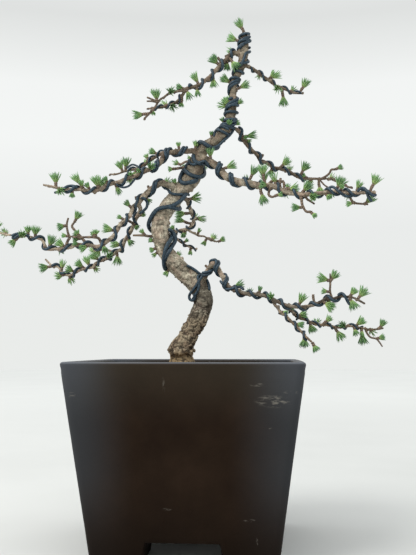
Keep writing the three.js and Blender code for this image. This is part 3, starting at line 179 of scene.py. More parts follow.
# Limbs by name: the limb that each grows from, and its route as (across, up, back, radius).
ROUTES = {
    "trunk": (None, [
        (-13, 118, 0, 8), (-13, 146, 0, 12), (-13, 160, 0, 13.5), (-13.5, 168, 0, 10.5), (-13.5, 175, 0, 12),
        (-8.7, 184, 1, 9), (-4.6, 194, 2, 8.9), (1.5, 203, 4, 9.6), (5, 213, 6, 9.6), (7, 222, 7, 9.5),
        (4, 232, 7, 9.4), (-4, 242, 5, 9.2), (-15, 251, 2, 8.8), (-23, 260, -1, 8.2), (-30, 270, -4, 7.8),
        (-33, 280, -6, 8.2), (-34.5, 290, -6, 8.9), (-34.5, 300, -5, 8.8), (-29, 309, -3, 7.9),
        (-21, 319, 0, 8), (-14, 329, 3, 8.1), (-5, 338, 5, 8.4), (-1.5, 347, 5, 8.3), (1.5, 356, 4, 7.1),
        (4.5, 364, 2, 6.1), (9.5, 370, 0, 5.6), (17, 375, -2, 5.1), (24, 380.5, -3, 4.9), (31, 390, -4, 4.9),
        (33, 398, -5, 5), (34.5, 405, -5, 4.6), (35.5, 412, -5, 4), (36, 420, -4, 3.4), (36.3, 428, -3, 3.3),
        (37.3, 435, -2, 3.3), (40, 441, -1, 3.4), (43, 448, 0, 4.1), (45.3, 455, 0, 4.6), (46.5, 461, 0, 4.8),
        (46.8, 468, 1, 4.7), (47.3, 476, 1, 4.4), (47.5, 482, 1, 3.2),
    ]),
    "top_left": ("trunk", [
        (46, 458, 0, 3), (41, 462, -2, 2.7), (36, 463, -3, 2.5), (32.5, 460.5, -4, 2.5),
        (29.5, 456.5, -6, 2.5), (25, 452, -8, 2.5), (20.5, 447.5, -10, 2.4), (16, 442.5, -12, 2.2),
        (10, 437, -15, 2.1), (4, 432, -18, 2.1), (-3, 430, -20, 2.1), (-10, 428, -23, 2),
    ]),
    "top_left_upper": ("top_left", [
        (-10, 428, -23, 1.7), (-15, 426.5, -26, 1.6), (-21, 425.7, -29, 1.6), (-26, 424.5, -31, 1.5),
        (-31, 421, -33, 1.4), (-36, 417.5, -35, 1.3), (-40.5, 410.5, -37, 1.2), (-43, 407, -38, 1.2),
        (-47, 403.5, -39, 1.1), (-51, 399.5, -40, 0.9),
    ]),
    "top_left_lower": ("top_left", [
        (-10, 428, -23, 1.9), (-13, 423, -22, 1.8), (-16, 418.5, -21, 1.8), (-20, 415, -20, 1.7),
        (-25, 413, -18, 1.6), (-30, 411.5, -17, 1.5), (-35, 410.3, -16, 1.5), (-40, 410, -15, 1.3),
        (-48, 409.3, -13, 1),
    ]),
    "top_right": ("trunk", [
        (45, 452, 0, 2.4), (50, 449, 3, 2.2), (55, 446.5, 6, 2.1), (60, 442.5, 9, 2), (65, 438.5, 12, 1.9),
        (70, 435, 14, 1.9), (77, 429, 18, 1.8), (83, 426.5, 21, 1.7), (89, 423.5, 24, 1.5),
        (96, 421, 28, 1.4), (104, 420, 31, 1.1),
    ]),
    "left_high": ("trunk", [
        (3, 362, 2, 3.4), (-2, 366, -1, 3.2), (-8, 366, -4, 3.1), (-15, 366.3, -7, 3), (-22, 365.3, -10, 2.9),
        (-28, 365, -12, 2.9), (-32, 361.5, -14, 2.8), (-34, 356.5, -16, 2.7), (-38, 352.5, -18, 2.7),
        (-45, 349.3, -20, 2.6), (-52, 346, -22, 2.5), (-60, 342.5, -25, 2.4), (-67, 340.5, -27, 2.4),
        (-74, 337.3, -29, 2.4), (-80, 336, -31, 2.3), (-86, 334.2, -33, 2.2), (-92, 331.2, -35, 2.2),
        (-98, 328.8, -37, 2.1), (-105, 329, -39, 2), (-112, 330.3, -41, 2), (-120, 330.3, -42, 1.9),
        (-128, 331, -44, 1.8), (-136, 332.3, -45, 1.6), (-144, 334.3, -47, 1.4), (-150.5, 335.7, -48, 1.3),
    ]),
    "left_high_fork": ("left_high", [
        (-28, 365, -12, 2.2), (-33, 364.8, -6, 2), (-38, 362, 0, 1.9), (-43, 359, 5, 1.9),
        (-48, 355.5, 9, 1.8), (-53, 352, 13, 1.7), (-59, 349.5, 17, 1.7), (-65, 348.5, 21, 1.6),
        (-71, 347, 25, 1.4), (-78, 344.8, 29, 1.2), (-84.5, 344.8, 33, 0.9),
    ]),
    "left_low": ("trunk", [
        (-14, 327, 3, 3.8), (-21, 330, -3, 3.6), (-28, 333.3, -7, 3.4), (-34, 334.8, -10, 3.3),
        (-39.5, 332, -11, 3.2), (-44, 329, -12, 3.2), (-48.5, 325, -12, 3.1), (-52.5, 320.5, -12, 3),
        (-56.5, 315.5, -12, 3),
    ]),
    "left_low_front": ("left_low", [
        (-56.5, 315.5, -12, 2.6), (-61, 312.3, -15, 2.4), (-62.8, 307.5, -17, 2.3), (-65, 302.5, -19, 2.3),
        (-69, 299.3, -21, 2.3), (-73.5, 295, -22, 2.3), (-76.5, 289.5, -23, 2.3), (-80, 284.3, -24, 2.2),
        (-85, 280, -25, 2.2), (-91, 275.3, -26, 2.1), (-97, 274, -27, 2.1), (-104, 275.7, -28, 2.1),
        (-111, 276, -28, 2), (-117, 275.8, -29, 2), (-122, 273.3, -29, 1.9), (-130, 272.7, -30, 1.9),
        (-141, 271.7, -31, 1.7), (-145.5, 273, -31, 1.6), (-150, 280.7, -32, 1.5), (-154, 282.5, -33, 1.5),
        (-160, 283.7, -34, 1.4), (-166, 285.3, -34, 1.4), (-173, 284.8, -35, 1.3), (-181, 286.2, -36, 1.3),
        (-188, 287.3, -37, 1.2), (-198.3, 290.5, -37, 1.2),
    ]),
    "left_low_back": ("left_low", [
        (-56.5, 315.5, -12, 2.6), (-54, 310.5, -8, 2.4), (-55.5, 305.5, -3, 2.3), (-58.3, 300.2, 1, 2.3),
        (-60.5, 294.5, 4, 2.3), (-63.5, 287.5, 8, 2.2), (-67.6, 282, 12, 2.1), (-70, 276.5, 15, 2.1),
        (-71, 272.5, 17, 2), (-75.5, 269.5, 19, 2), (-80, 266, 22, 1.9), (-86, 262.3, 25, 1.9),
        (-92, 260.2, 28, 1.8), (-97, 257.7, 30, 1.8), (-100, 254, 32, 1.7), (-106, 253, 34, 1.7),
        (-112, 251.3, 37, 1.7), (-117, 248.7, 39, 1.6), (-122.5, 246.3, 41, 1.6), (-128, 247.8, 43, 1.5),
        (-131, 251.3, 45, 1.4), (-135, 255, 46, 1.4), (-140, 256, 47, 1.3), (-147, 262.5, 49, 0.9),
    ]),
    "back": ("trunk", [
        (-14, 322, 3, 3), (-9, 318, 12, 2.6), (-6.5, 312, 18, 2.4), (-4.5, 306, 24, 2.3),
        (-2.3, 300.5, 30, 2.3), (-3.5, 294.5, 36, 2.2), (-7.5, 290.5, 42, 2.1), (-14, 289, 49, 2),
        (-20.5, 287, 55, 1.9), (-19.5, 282.5, 60, 1.7), (-16.5, 278.5, 65, 1.5), (-12, 275.7, 70, 1.3),
        (-5, 272, 75, 1.1), (0.5, 270.2, 80, 0.9),
    ]),
    "back_right": ("back", [
        (-9, 290, 44, 1.7), (-5.5, 287.6, 48, 1.6), (-1.5, 285.5, 52, 1.5), (3, 283.2, 57, 1.5),
        (8, 282.6, 61, 1.4), (11.5, 280, 65, 1.3), (17, 278, 70, 1.2), (21, 277.4, 74, 1),
    ]),
    "back_upper": ("trunk", [
        (-1.5, 347, 5, 2.8), (1, 352, 18, 2.5), (-1, 355, 30, 2.3), (-4, 353, 42, 2.1), (-2, 356, 54, 1.9),
        (2, 355, 66, 1.6), (4, 358, 78, 1.2),
    ]),
    "right_high": ("trunk", [
        (31, 390, -4, 2.4), (37, 387.5, 0, 2.3), (41, 385.5, 3, 2.2), (43.5, 380, 6, 2.2), (46, 375, 9, 2.1),
        (50, 369.7, 12, 2.1), (54.5, 365, 15, 2.1), (59, 360.3, 18, 2.1), (61.5, 355.8, 20, 2),
        (66, 354, 22, 2), (73, 349, 27, 1.9), (78, 347.5, 29, 1.9), (84.5, 345.3, 32, 1.8),
        (90, 343.8, 34, 1.8), (94.5, 340, 37, 1.8), (100, 337.7, 39, 1.7), (106, 336.8, 42, 1.7),
        (113, 336.7, 44, 1.6), (119, 336.3, 46, 1.5), (126, 336.5, 48, 1.4), (131, 334.8, 50, 1.3),
        (136, 332, 52, 1.2), (142, 329, 54, 1.1), (149, 326.7, 56, 1),
    ]),
    "right_main": ("trunk", [
        (2, 361, 3, 4.5), (9, 358, -1, 4.2), (15, 354.5, -4, 4), (20, 350.5, -6, 4), (25, 344.5, -8, 4),
        (31, 339, -10, 4), (38, 336, -11, 3.9), (46, 334, -13, 3.9), (54, 332.5, -14, 3.8),
        (62, 331, -16, 3.5), (70, 330.8, -18, 3.2), (76, 329.3, -20, 3), (81, 326.3, -22, 2.9),
        (87, 324, -23, 2.8), (94, 322.7, -25, 2.7), (102, 321.5, -28, 2.6), (110, 321.8, -30, 2.4),
        (118, 322.5, -32, 2.3), (126, 323.6, -34, 2.2), (133, 324.2, -36, 2.1), (141, 323, -38, 2),
        (150, 322.7, -39, 1.9), (158, 322, -41, 1.8), (164, 322.3, -42, 1.7), (170.5, 322.3, -43, 1.6),
    ]),
    "right_low": ("trunk", [
        (3, 233, 7, 4.2), (7, 241, 2, 3.4), (10, 247, -2, 3), (12.5, 252, -4, 2.9), (15.5, 256, -5, 2.8),
        (18.5, 256.3, -5, 2.7), (21, 252, -6, 2.7), (24, 246.5, -7, 2.7), (26.7, 241.5, -8, 2.7),
        (29, 236.5, -8, 2.6), (33, 232.8, -9, 2.5), (38, 230.8, -10, 2.5), (44, 228.3, -11, 2.4),
        (51, 227.1, -12, 2.4), (59, 226.5, -14, 2.3), (66, 225.2, -16, 2.2), (72, 222.5, -17, 2.2),
        (78, 219.5, -18, 2.1), (84, 216.8, -20, 2), (91, 215.2, -22, 2), (99, 214.8, -24, 1.9),
        (106, 215.6, -26, 1.9), (112, 217, -28, 1.9), (117, 219.5, -30, 1.8), (122, 222, -31, 1.8),
        (129, 222.3, -33, 1.8), (135.5, 224.5, -35, 1.6), (142, 224.1, -36, 1.4), (149, 222.5, -38, 1.2),
        (158, 217.3, -41, 0.9),
    ]),
    "right_low_fork": ("right_low", [
        (84, 216.8, -20, 1.9), (88.5, 212.3, -14, 1.8), (92, 209.3, -9, 1.7), (94.5, 206, -4, 1.7),
        (98, 204, 0, 1.7), (103.5, 202.7, 4, 1.6), (108, 200, 8, 1.6), (113, 198.4, 11, 1.6),
        (120, 198, 15, 1.5), (127, 196.7, 19, 1.5), (133.5, 195.4, 23, 1.5), (140, 196.3, 26, 1.5),
        (146.5, 196.6, 29, 1.4), (154, 195, 33, 1.3), (161, 193.7, 37, 1.2), (168, 193.8, 41, 1.1),
        (174.5, 194.8, 45, 0.9),
    ]),
    "right_low_front": ("right_low", [
        (72, 222.5, -17, 1.8), (74.5, 217, -20, 1.7), (77.5, 213.5, -22, 1.7), (80, 209, -24, 1.6),
        (84, 207, -26, 1.6), (87.5, 203.7, -28, 1.5), (91, 199.7, -30, 1.5), (95.5, 195.5, -32, 1.5),
        (99.5, 191, -35, 1.4), (102.5, 187.3, -38, 1.4), (109, 181.5, -43, 1.2),
    ]),
}

# Unwired twigs: the limb that each grows from, and its route.
TWIGS = [
    ("top_left_upper", [(-38, 416, -36, 1.1), (-42, 418, -37, 1), (-48.5, 421, -38, 0.8)]),
    ("top_left_upper", [(-38.5, 415.5, -36, 1), (-43, 416.7, -34, 0.9), (-48.5, 417, -33, 0.7)]),
    ("left_low_front", [
        (-89, 277.5, -26, 1.5), (-94, 281.5, -28, 1.3), (-98, 283, -30, 1.2), (-106, 283.3, -31, 1.1),
        (-115, 283.3, -32, 1), (-123, 284.3, -33, 0.8),
    ]),
    ("left_low_front", [
        (-125.2, 273.5, -30, 1.4), (-124.8, 280, -31, 1.3), (-123, 283.2, -32, 1.2), (-124.5, 287, -32, 1.1),
        (-125.7, 292, -33, 1), (-126, 297, -33, 1), (-124.7, 302.5, -34, 0.8),
    ]),
    ("left_low_front", [
        (-105, 276.5, -27, 1.5), (-110.3, 281.6, -24, 1.3), (-113.6, 285.5, -22, 1.2),
        (-117.6, 289.6, -20, 1.2), (-120.9, 294.2, -18, 1.1), (-118.4, 298.5, -17, 0.9),
    ]),
    ("left_low_front", [(-69, 299.3, -21, 1.5), (-65, 298.5, -12, 1.3), (-60.5, 295.8, 2, 1.2)]),
    ("left_low_front", [(-145, 272.8, -31, 1.4), (-149, 273.3, -33, 1)]),
    ("trunk", [
        (-33, 283.5, -6, 2), (-45, 283.5, -10, 1.3), (-51, 284.3, -12, 1.1), (-61, 284.5, -15, 0.8),
    ]),
    ("trunk", [(-2, 350.5, 5, 2), (-12, 350, 2, 1.6), (-20, 349, 0, 1.2)]),
    ("right_high", [
        (119, 336.3, 46, 1.3), (123, 338.3, 45, 1.2), (127, 341.5, 43, 1.1), (129, 345, 42, 1.2),
        (132.5, 345.2, 41, 1.1),
    ]),
    ("right_high", [(117.5, 334.5, 46, 0.9), (122, 330.6, 45, 0.8), (127, 327.3, 44, 0.7)]),
    ("right_main", [
        (67, 330.5, -17, 1.4), (69.5, 322.5, -20, 1.2), (72.5, 319.8, -22, 1.1), (76, 320.7, -24, 1),
    ]),
    ("right_main", [
        (68, 333, -18, 1.6), (74, 335.5, -16, 1.4), (80, 334.5, -14, 1.3), (84, 334.5, -13, 1.4),
    ]),
    ("right_main", [
        (99, 321.5, -27, 1.5), (100.5, 317, -30, 1.3), (101.3, 311.5, -33, 1.2), (104.5, 305.5, -36, 1.1),
        (109, 304.8, -38, 1.2),
    ]),
    ("right_main", [
        (103, 319.5, -28, 1.2), (106, 317, -26, 1.1), (109, 315, -24, 1), (112.7, 312.3, -22, 0.8),
    ]),
    ("right_main", [
        (144, 320.5, -38, 1.3), (147.5, 315.2, -36, 1.1), (151, 312.5, -35, 1), (156, 311.8, -34, 0.9),
        (162.7, 311, -33, 0.7),
    ]),
    ("right_low", [
        (126, 222.5, -32, 1.1), (126, 229, -34, 1), (126.3, 236, -36, 0.9), (126.3, 246, -38, 0.7),
    ]),
    ("right_low_fork", [
        (157.5, 194.5, 35, 1.1), (159.5, 189.7, 33, 1), (162.5, 186.3, 31, 0.9), (167.5, 185, 29, 0.9),
        (170, 182.3, 28, 0.8), (173, 177.7, 27, 0.6),
    ]),
    ("left_low_back", [(-79, 267, 20, 1.4), (-84, 270, 30, 1.2), (-91, 271, 38, 1.1), (-98, 268, 45, 0.9)]),
    ("back_upper", [(-4, 353, 42, 1.4), (-9, 356, 50, 1.2), (-15, 353, 58, 1)]),
]

# Shoots by limb: (across, up) of the foot, the needle tips from there as (across, up, back), and how full the
# tuft is where that isn't 1. A shoot of fullness 0 is a bare spur.
TUFTS = {
    "trunk": [
        (46, 483, -6.5, 14.5, 0, 1.4), (41, 471, -12, 8.5, -2), (36, 463, -6.5, 3.5, 4, 0.6),
        (35, 431.5, -12.5, 8.5, -4), (38, 430.5, 14.5, 2, 3), (29.5, 407, -3, 13, -2, 1.4),
        (29, 407, -9, 4, 4, 0.6), (37, 409, 9, 7, -3, 0.6), (28, 390, -3.5, 8, -4, 0.6),
        (33, 386, -0.5, 8.5, -9), (35, 387, 8, 7.5, 2), (14, 375.5, 0.8, 10, 0), (2.5, 359, -9.5, 0, 5, 0.6),
        (-34, 275, -11, 5, -4), (-34, 272, -10, -2, -5), (-34, 271, -8, -7, -4, 0.6),
        (-22, 257, -8.5, -12.5, -2, 1.1), (-14, 332, -8, 2, 14), (-34, 297, 2, 3, 17), (-22, 261, 6, 6, 15),
        (-23, 284, 3, -2, 13), (2, 350, 3, -2, 17), (34, 400, 2, 2, 14), (-16, 256, -3, -10, 2, 0),
        (-10, 251, -3, -10, 2, 0), (-20, 349, -8, -0.5, 0), (-49, 284.2, -5, 6.5, -3, 0.8),
    ],
    "top_left": [
        (23, 450, -10, 11.5, -2, 1.4), (31, 457, -1.5, -13, 4), (33, 458, 8, -12, -5), (15, 441, 2.5, -14, 3),
        (3, 432, -7, 13, -1), (5, 432, -3, -11, -2, 0.6), (-11, 427, -10, 4, -4), (-10, 426, 5, -9, -3),
        (21, 455, 0, 4, 0, 0),
    ],
    "top_left_upper": [
        (-38.5, 416, -2, 14.5, -2, 1.3), (-46, 404.5, -18, -1.5, 0), (-26, 424, 2, 4, -12),
    ],
    "top_left_lower": [
        (-15.5, 417, 0.5, -8, 2), (-41, 409.5, -1, -7, -3, 0.6), (-30, 411.5, -3, 2, 12),
        (-24, 413, 2, -4, -11),
    ],
    "top_right": [
        (62, 441.5, -0.5, 3, 0, 0), (70.5, 435.5, 7.5, 8, -2), (71, 435, 12, 6, 3, 0.6),
        (100, 420.8, 8.5, 14.5, 0, 1.3), (83, 425, 2, -18, 0, 1.3), (63, 441, -2, -3, 12),
        (92, 422.5, 3, 2, 11), (78, 428.5, 1, -4, -11),
    ],
    "left_high": [
        (-0.5, 366, 1, 11.5, 0, 0.8), (-17, 366.5, -0.3, 9.5, -3, 0.8), (-61, 342, -4, 4, -8, 0.6),
        (-53, 345.5, -4, 3, -8, 0.6), (-81, 336.5, -8.5, 5, -5), (-98, 329, -2, 16, -3, 1.4),
        (-97, 329, 4, 12, 4), (-103, 328.7, -5.5, 9, -4), (-112, 330.5, -1, 10, -5), (-115, 331, -6, 15, 2),
        (-123, 330.3, 1.5, -8, -2), (-137.5, 332.5, -1, 16.5, 0, 1.4), (-74.5, 337, 1.5, -13.5, 2, 0.8),
        (-88, 333.5, -3, 3, 12), (-130, 331, -2, -3, -12), (-66, 340.5, 2, -3, 13), (-45, 349.5, 2, 4, -13),
    ],
    "left_high_fork": [
        (-36.5, 363, -10.5, 5.5, -2), (-45.7, 356.8, -4, 8, 0, 0.6), (-66.5, 348.5, -1.5, 14, 0, 1.4),
        (-71.5, 346.8, -5, 12, -1), (-58, 350, -3, -9, 7), (-50, 354, 4, 4, 12),
    ],
    "left_low": [
        (-20, 330, -1.5, 8.5, -3), (-45.5, 328, -1, 4, 0, 0), (-57, 317, -1.7, 5.5, 0, 0),
        (-30, 334, 3, 4, 13), (-50, 323.5, 6, -8, 8),
    ],
    "left_low_front": [
        (-62.5, 310.5, -7.5, 8.5, -3), (-69, 299.3, -5, 3, -3, 0.6), (-76, 291.5, -15.5, 0.8, -2),
        (-98, 283, 1, 7, -2), (-98, 283, -3, 5, 3, 0.6), (-112, 277, -8, 1, -6), (-113, 280, -8, 1, -3),
        (-103, 275, -11, -4, -6), (-125.5, 273.5, -12, 7, -3), (-141.5, 272, 2, 15, -1, 1.4),
        (-157, 284, 0.5, 12.5, -2, 1.4), (-164.5, 285.3, 0, 10.5, 2), (-178, 285.3, -5, -10, 0),
        (-126, 295.5, -11, -2.5, -2, 1.4), (-124.5, 284, -5, 1, -3, 0.6), (-113.5, 284, -2.5, 5, -2, 0.6),
        (-113, 284, -7, 1.5, -4, 0.6), (-118.4, 298.5, 5.4, 11, 0), (-90, 276, 3, -8, -8),
        (-133, 273, 2, -3, 13), (-172, 285, 2, 3, -12), (-186, 287, -3, 3, 12), (-95, 274, -2, -10, 6),
        (-51, 285, -4, 5, -2), (-198.3, 290.5, 5, 10.5, 3),
    ],
    "left_low_back": [
        (-76, 268, 0.5, -14, 0), (-70, 276.5, -13.5, 0.3, 2), (-65, 284, 4.5, -9, -2),
        (-90, 260.7, -13, 6, -2), (-102.5, 253.7, -5.5, 12, 1), (-107.5, 253, -10, 7.5, -3, 1.4),
        (-114, 250.7, -12, 3, -4), (-130.5, 250.5, 1.8, 12, 1, 0.8), (-127, 247.3, -10.5, -2, 2, 1.4),
        (-139, 256, -15, -3, -1, 1.4), (-98, 256.5, 3, -5, 12), (-86, 262, 3, 5, -11),
        (-122, 246.5, 2, -8, 10), (-57, 303, 8, 3, 7), (-98, 268, -4, 5, 6),
    ],
    "back": [
        (-9, 319, 15, 1.5, 2, 1.4), (-4.5, 305.5, -17, -1, -3, 1.4), (-3.5, 295, -18, 5.5, -4),
        (-2, 299.5, 13, 0.3, 3, 0.6), (-21, 287.3, -3, 6.5, -6), (-11, 289, -1.5, -8, -3),
        (-13, 276.3, 5.5, 3.5, 1, 0.6), (-4.8, 272, -1, -8, 0), (-4, 299, 5, 3, 13), (-9, 290, -4, -6, 10),
    ],
    "back_right": [
        (1, 284.3, 3, 6.5, -2, 0.6), (10.5, 280.5, -4.5, -7, 2), (14, 279, 4, 4, 11),
        (21, 277.4, 7.5, 3.5, 1),
    ],
    "back_upper": [
        (0, 353, 8, 8, 6), (-3, 354, -10, -6, 5), (-2, 356, 3, 12, 5), (1, 355, 9, -8, 4),
        (-15, 353, -7, 3, 5), (4, 358, 2, 4, 9),
    ],
    "right_high": [
        (44, 378.5, 16, 2.5, -2), (46, 376, 8, -2.5, 3, 0.6), (45, 377.5, 3.5, 1, -6, 0.6),
        (60, 358.5, 4.5, 3, 0, 0), (82, 346, 9, 11.5, -2), (96.5, 339.3, 11, 14, 0, 1.4),
        (106, 337, -5, 5, -5, 0.6), (117.5, 336, 0.5, -17.5, -2, 1.4), (132.5, 345.2, 8, 3.3, 0, 1.1),
        (73, 349, -2, -9, 8), (88, 344.3, 2, 4, 12), (128, 336, 2, 3, 12), (110, 336.7, -2, -4, 12),
    ],
    "right_main": [
        (14, 355, -1, 16, -5), (23.5, 346.5, 16.5, 6.5, -3), (50, 333.8, 8, 17.5, 0),
        (66, 331, -3, 22, -1, 1.4), (66, 331, -1, 14, 3), (77, 329.3, -3.5, 15, 2, 0.6),
        (72, 331, -12, 1, -6), (79, 328.5, 2, 9, 1, 0), (84, 325.5, 0, 8.5, 2, 0), (86, 325, 13.5, 4, -4),
        (86, 325, 2.5, 8, 3, 0.6), (100, 322, 11, 12, -2, 1.4), (116, 322.5, -4, -5.5, -4),
        (122, 322.8, 6.5, -6, -3, 1.4), (133, 324.5, 7.5, 14.5, -1, 1.4), (137, 323.6, 1.5, 4.5, -4, 0.6),
        (153.5, 322.7, 2.5, 12.5, 0, 0.6), (162.5, 322, 10.5, 18.5, -1), (61, 328, 4.5, -16.5, -2, 1.4),
        (76, 320.7, 6, 2, 0), (109, 304.8, 5, -5, -3), (99.5, 308.5, -10, 0.5, -2),
        (150, 312.8, -8.5, -1, -2), (159, 311.8, 11, 8, 2), (46, 334, 3, 4, 14), (84, 325.3, 3, -4, 13),
        (111, 321.8, 3, -3, -13), (128, 323.8, 2, -3, 12), (146, 322.8, -3, -4, 12),
    ],
    "right_low": [
        (34, 232.5, 12.5, 6.5, -2, 0.6), (60, 227, 0.5, 5.5, -2, 0.6), (96.5, 215, 5.5, 13.5, -1),
        (110, 217, 0.3, 9.5, 0, 0), (116, 218.5, 14, -6, -3, 1.4), (143.5, 223.8, 7, 9, -1, 1.4),
        (151.5, 221.5, 8.5, 12, 1), (143.5, 223.5, 6.5, -13, -1), (13, 251.5, -3.5, 3, 0, 0),
        (126.3, 239.5, -13, 4, -2, 1.4), (126.3, 238.5, 7.5, 10, 2, 1.4), (125.5, 228.5, -8.5, 1, 2, 0.6),
        (48, 227.5, 3, 3, 12), (88, 215.7, 2, -3, 11), (72, 222.5, -2, 4, -11), (123, 222, 3, -3, 12),
    ],
    "right_low_fork": [
        (94, 206, 11.5, 3, 2), (121, 198, 6.5, 8, 0), (148, 196.3, 10, 8.5, -2),
        (170.5, 194, 5.5, 9.5, 0, 1.4), (105.5, 202, 4.5, -12, 1), (129.5, 196, 8, -13.5, 0),
        (147, 196.5, 3, -9.5, -2), (154, 195, 1.5, -17, 1, 1.4), (154.5, 195, 0, -9, -3, 0.6),
        (167.5, 185, 9, 2, -2), (112, 198.5, 2, 3, 12), (138, 196, -2, 3, -12), (162, 193.7, 3, -3, 11),
    ],
    "right_low_front": [
        (79.5, 210.5, 7.5, -1.5, -3), (90.5, 200.3, 10.5, -2.5, -2), (102, 187.5, -1, -12, 0, 1.4),
        (109, 181.5, 4.5, -9.5, 0, 1.4),
    ],
}

# Knobs round the trunk's foot, drawn as (across, up, size).
KNOBS = [
    (-24.3, 174.5, 3.2), (-22.5, 170.5, 2.6), (-19, 172.5, 2.8), (-14.5, 171.5, 2.6), (-10, 173, 2.8),
    (-6, 171, 2.6), (-2.6, 174, 3), (-21.5, 179, 2.2), (-4.2, 179, 2),
]

# Wires: name, radius and runs. Each run is on one limb, through stations of the wire's middle given as
# (distance along the limb, degrees round it).
WIRES = [
    ("trunk_wire", TRUNK_WIRE, [
        ("trunk", [
            (150, 80), (153, 130), (157, 185), (165, 235), (174, 285), (181, 340), (186, 395), (189, 450),
            (192, 500), (197, 550), (205, 595), (213, 640), (218, 690), (222, 730), (225, 770), (230, 805),
            (238, 838), (247, 868), (255, 890), (259, 915), (257, 950), (254, 990), (256, 1040), (261, 1085),
            (267, 1125), (274, 1160), (280, 1195), (285, 1250), (288, 1305), (291, 1360), (294, 1410),
            (297, 1460), (300, 1510),
        ]),
    ]),
    ("leader_wire", BRANCH_WIRE, [
        ("trunk", even(307, 378, pitch=20.5, top=301, hand=1)),
        ("trunk", [
            (383, 1358), (387, 1362), (391, 1370), (394, 1420), (397, 1490), (400, 1560), (403, 1630),
            (406, 1700), (409, 1770), (412, 1840),
        ]),
    ]),
    ("top_left_wire", BRANCH_WIRE, [("top_left", even(9, 74, pitch=15, top=10.6, hand=-1))]),
    ("top_left_fork_wire", TWIG_WIRE, [("top_left_lower", even(7, 42, pitch=12, top=7, hand=-1))]),
    ("top_right_wire", TWIG_WIRE, [("top_right", even(9, 70, pitch=15, top=5, hand=1))]),
    ("left_high_wire", BRANCH_WIRE, [("left_high", even(14, 146, pitch=17, top=14, hand=-1))]),
    ("left_high_fork_wire", TWIG_WIRE, [
        ("left_high", even(17.5, 31, pitch=17, top=17.5, hand=-1)),
        ("left_high_fork", even(9, 60, pitch=14, top=9, hand=-1)),
    ]),
    ("left_low_wire", BRANCH_WIRE, [
        ("trunk", [(239, 370), (236, 335), (231, 300), (227, 262), (227, 228)]),
        ("left_low", even(12, 50, pitch=23.5, top=22, hand=-1)),
        ("left_low_front", even(5, 145, pitch=17, top=1, hand=-1)),
    ]),
    ("left_low_back_wire", BRANCH_WIRE, [("left_low_back", even(9, 148, pitch=16, top=13, hand=-1))]),
    ("back_wire", TWIG_WIRE, [("back", even(14, 112, pitch=15, top=13, hand=1))]),
    ("back_upper_wire", TWIG_WIRE, [("back_upper", even(14, 78, pitch=15, top=14, hand=1))]),
    ("right_high_wire", BRANCH_WIRE, [("right_high", even(11, 106, pitch=16, top=11, hand=1))]),
    ("right_main_wire", BRANCH_WIRE, [
        ("trunk", [(270, 175), (268, 215), (266, 260)]),
        ("right_main", even(12, 182, pitch=16.5, top=23.5, hand=1)),
    ]),
    ("right_low_wire", BRANCH_WIRE, [
        ("trunk", [(109, 195), (114, 225), (120, 258), (126, 285), (131, 303)]),
        ("right_low", even(14, 46, pitch=17, top=28, hand=1)),
        ("right_low", even(50, 170, pitch=15.25, top=46.4, hand=1)),
    ]),
    ("right_low_fork_wire", TWIG_WIRE, [("right_low_fork", even(9, 100, pitch=14, top=2, hand=1))]),
    ("right_low_front_wire", TWIG_WIRE, [("right_low_front", even(15, 54, pitch=13, top=8.5, hand=1))]),
]

# Further strands of these wires, wound on a limb: beside the first strand, or in tight turns over it.
DOUBLED = {
    "leader_wire": [
        ("trunk", even(309.9, 408, pitch=20.5, top=303.9, hand=1)),
        ("trunk", even(304, 343, pitch=6.8, top=304, hand=1)),
        ("trunk", even(359, 377, pitch=7.5, top=359, hand=1)),
        ("trunk", even(400, 413, pitch=6.5, top=400, hand=1)),
    ],
    "left_high_wire": [("left_high", even(17, 60, pitch=17, top=17, hand=-1))],
    "left_low_wire": [("left_low", even(15, 50, pitch=23.5, top=25, hand=-1))],
    "right_main_wire": [("right_main", even(14.8, 60, pitch=16.5, top=26.3, hand=1))],
    "right_low_wire": [("right_low", even(16.8, 60, pitch=17, top=30.8, hand=1))],
}

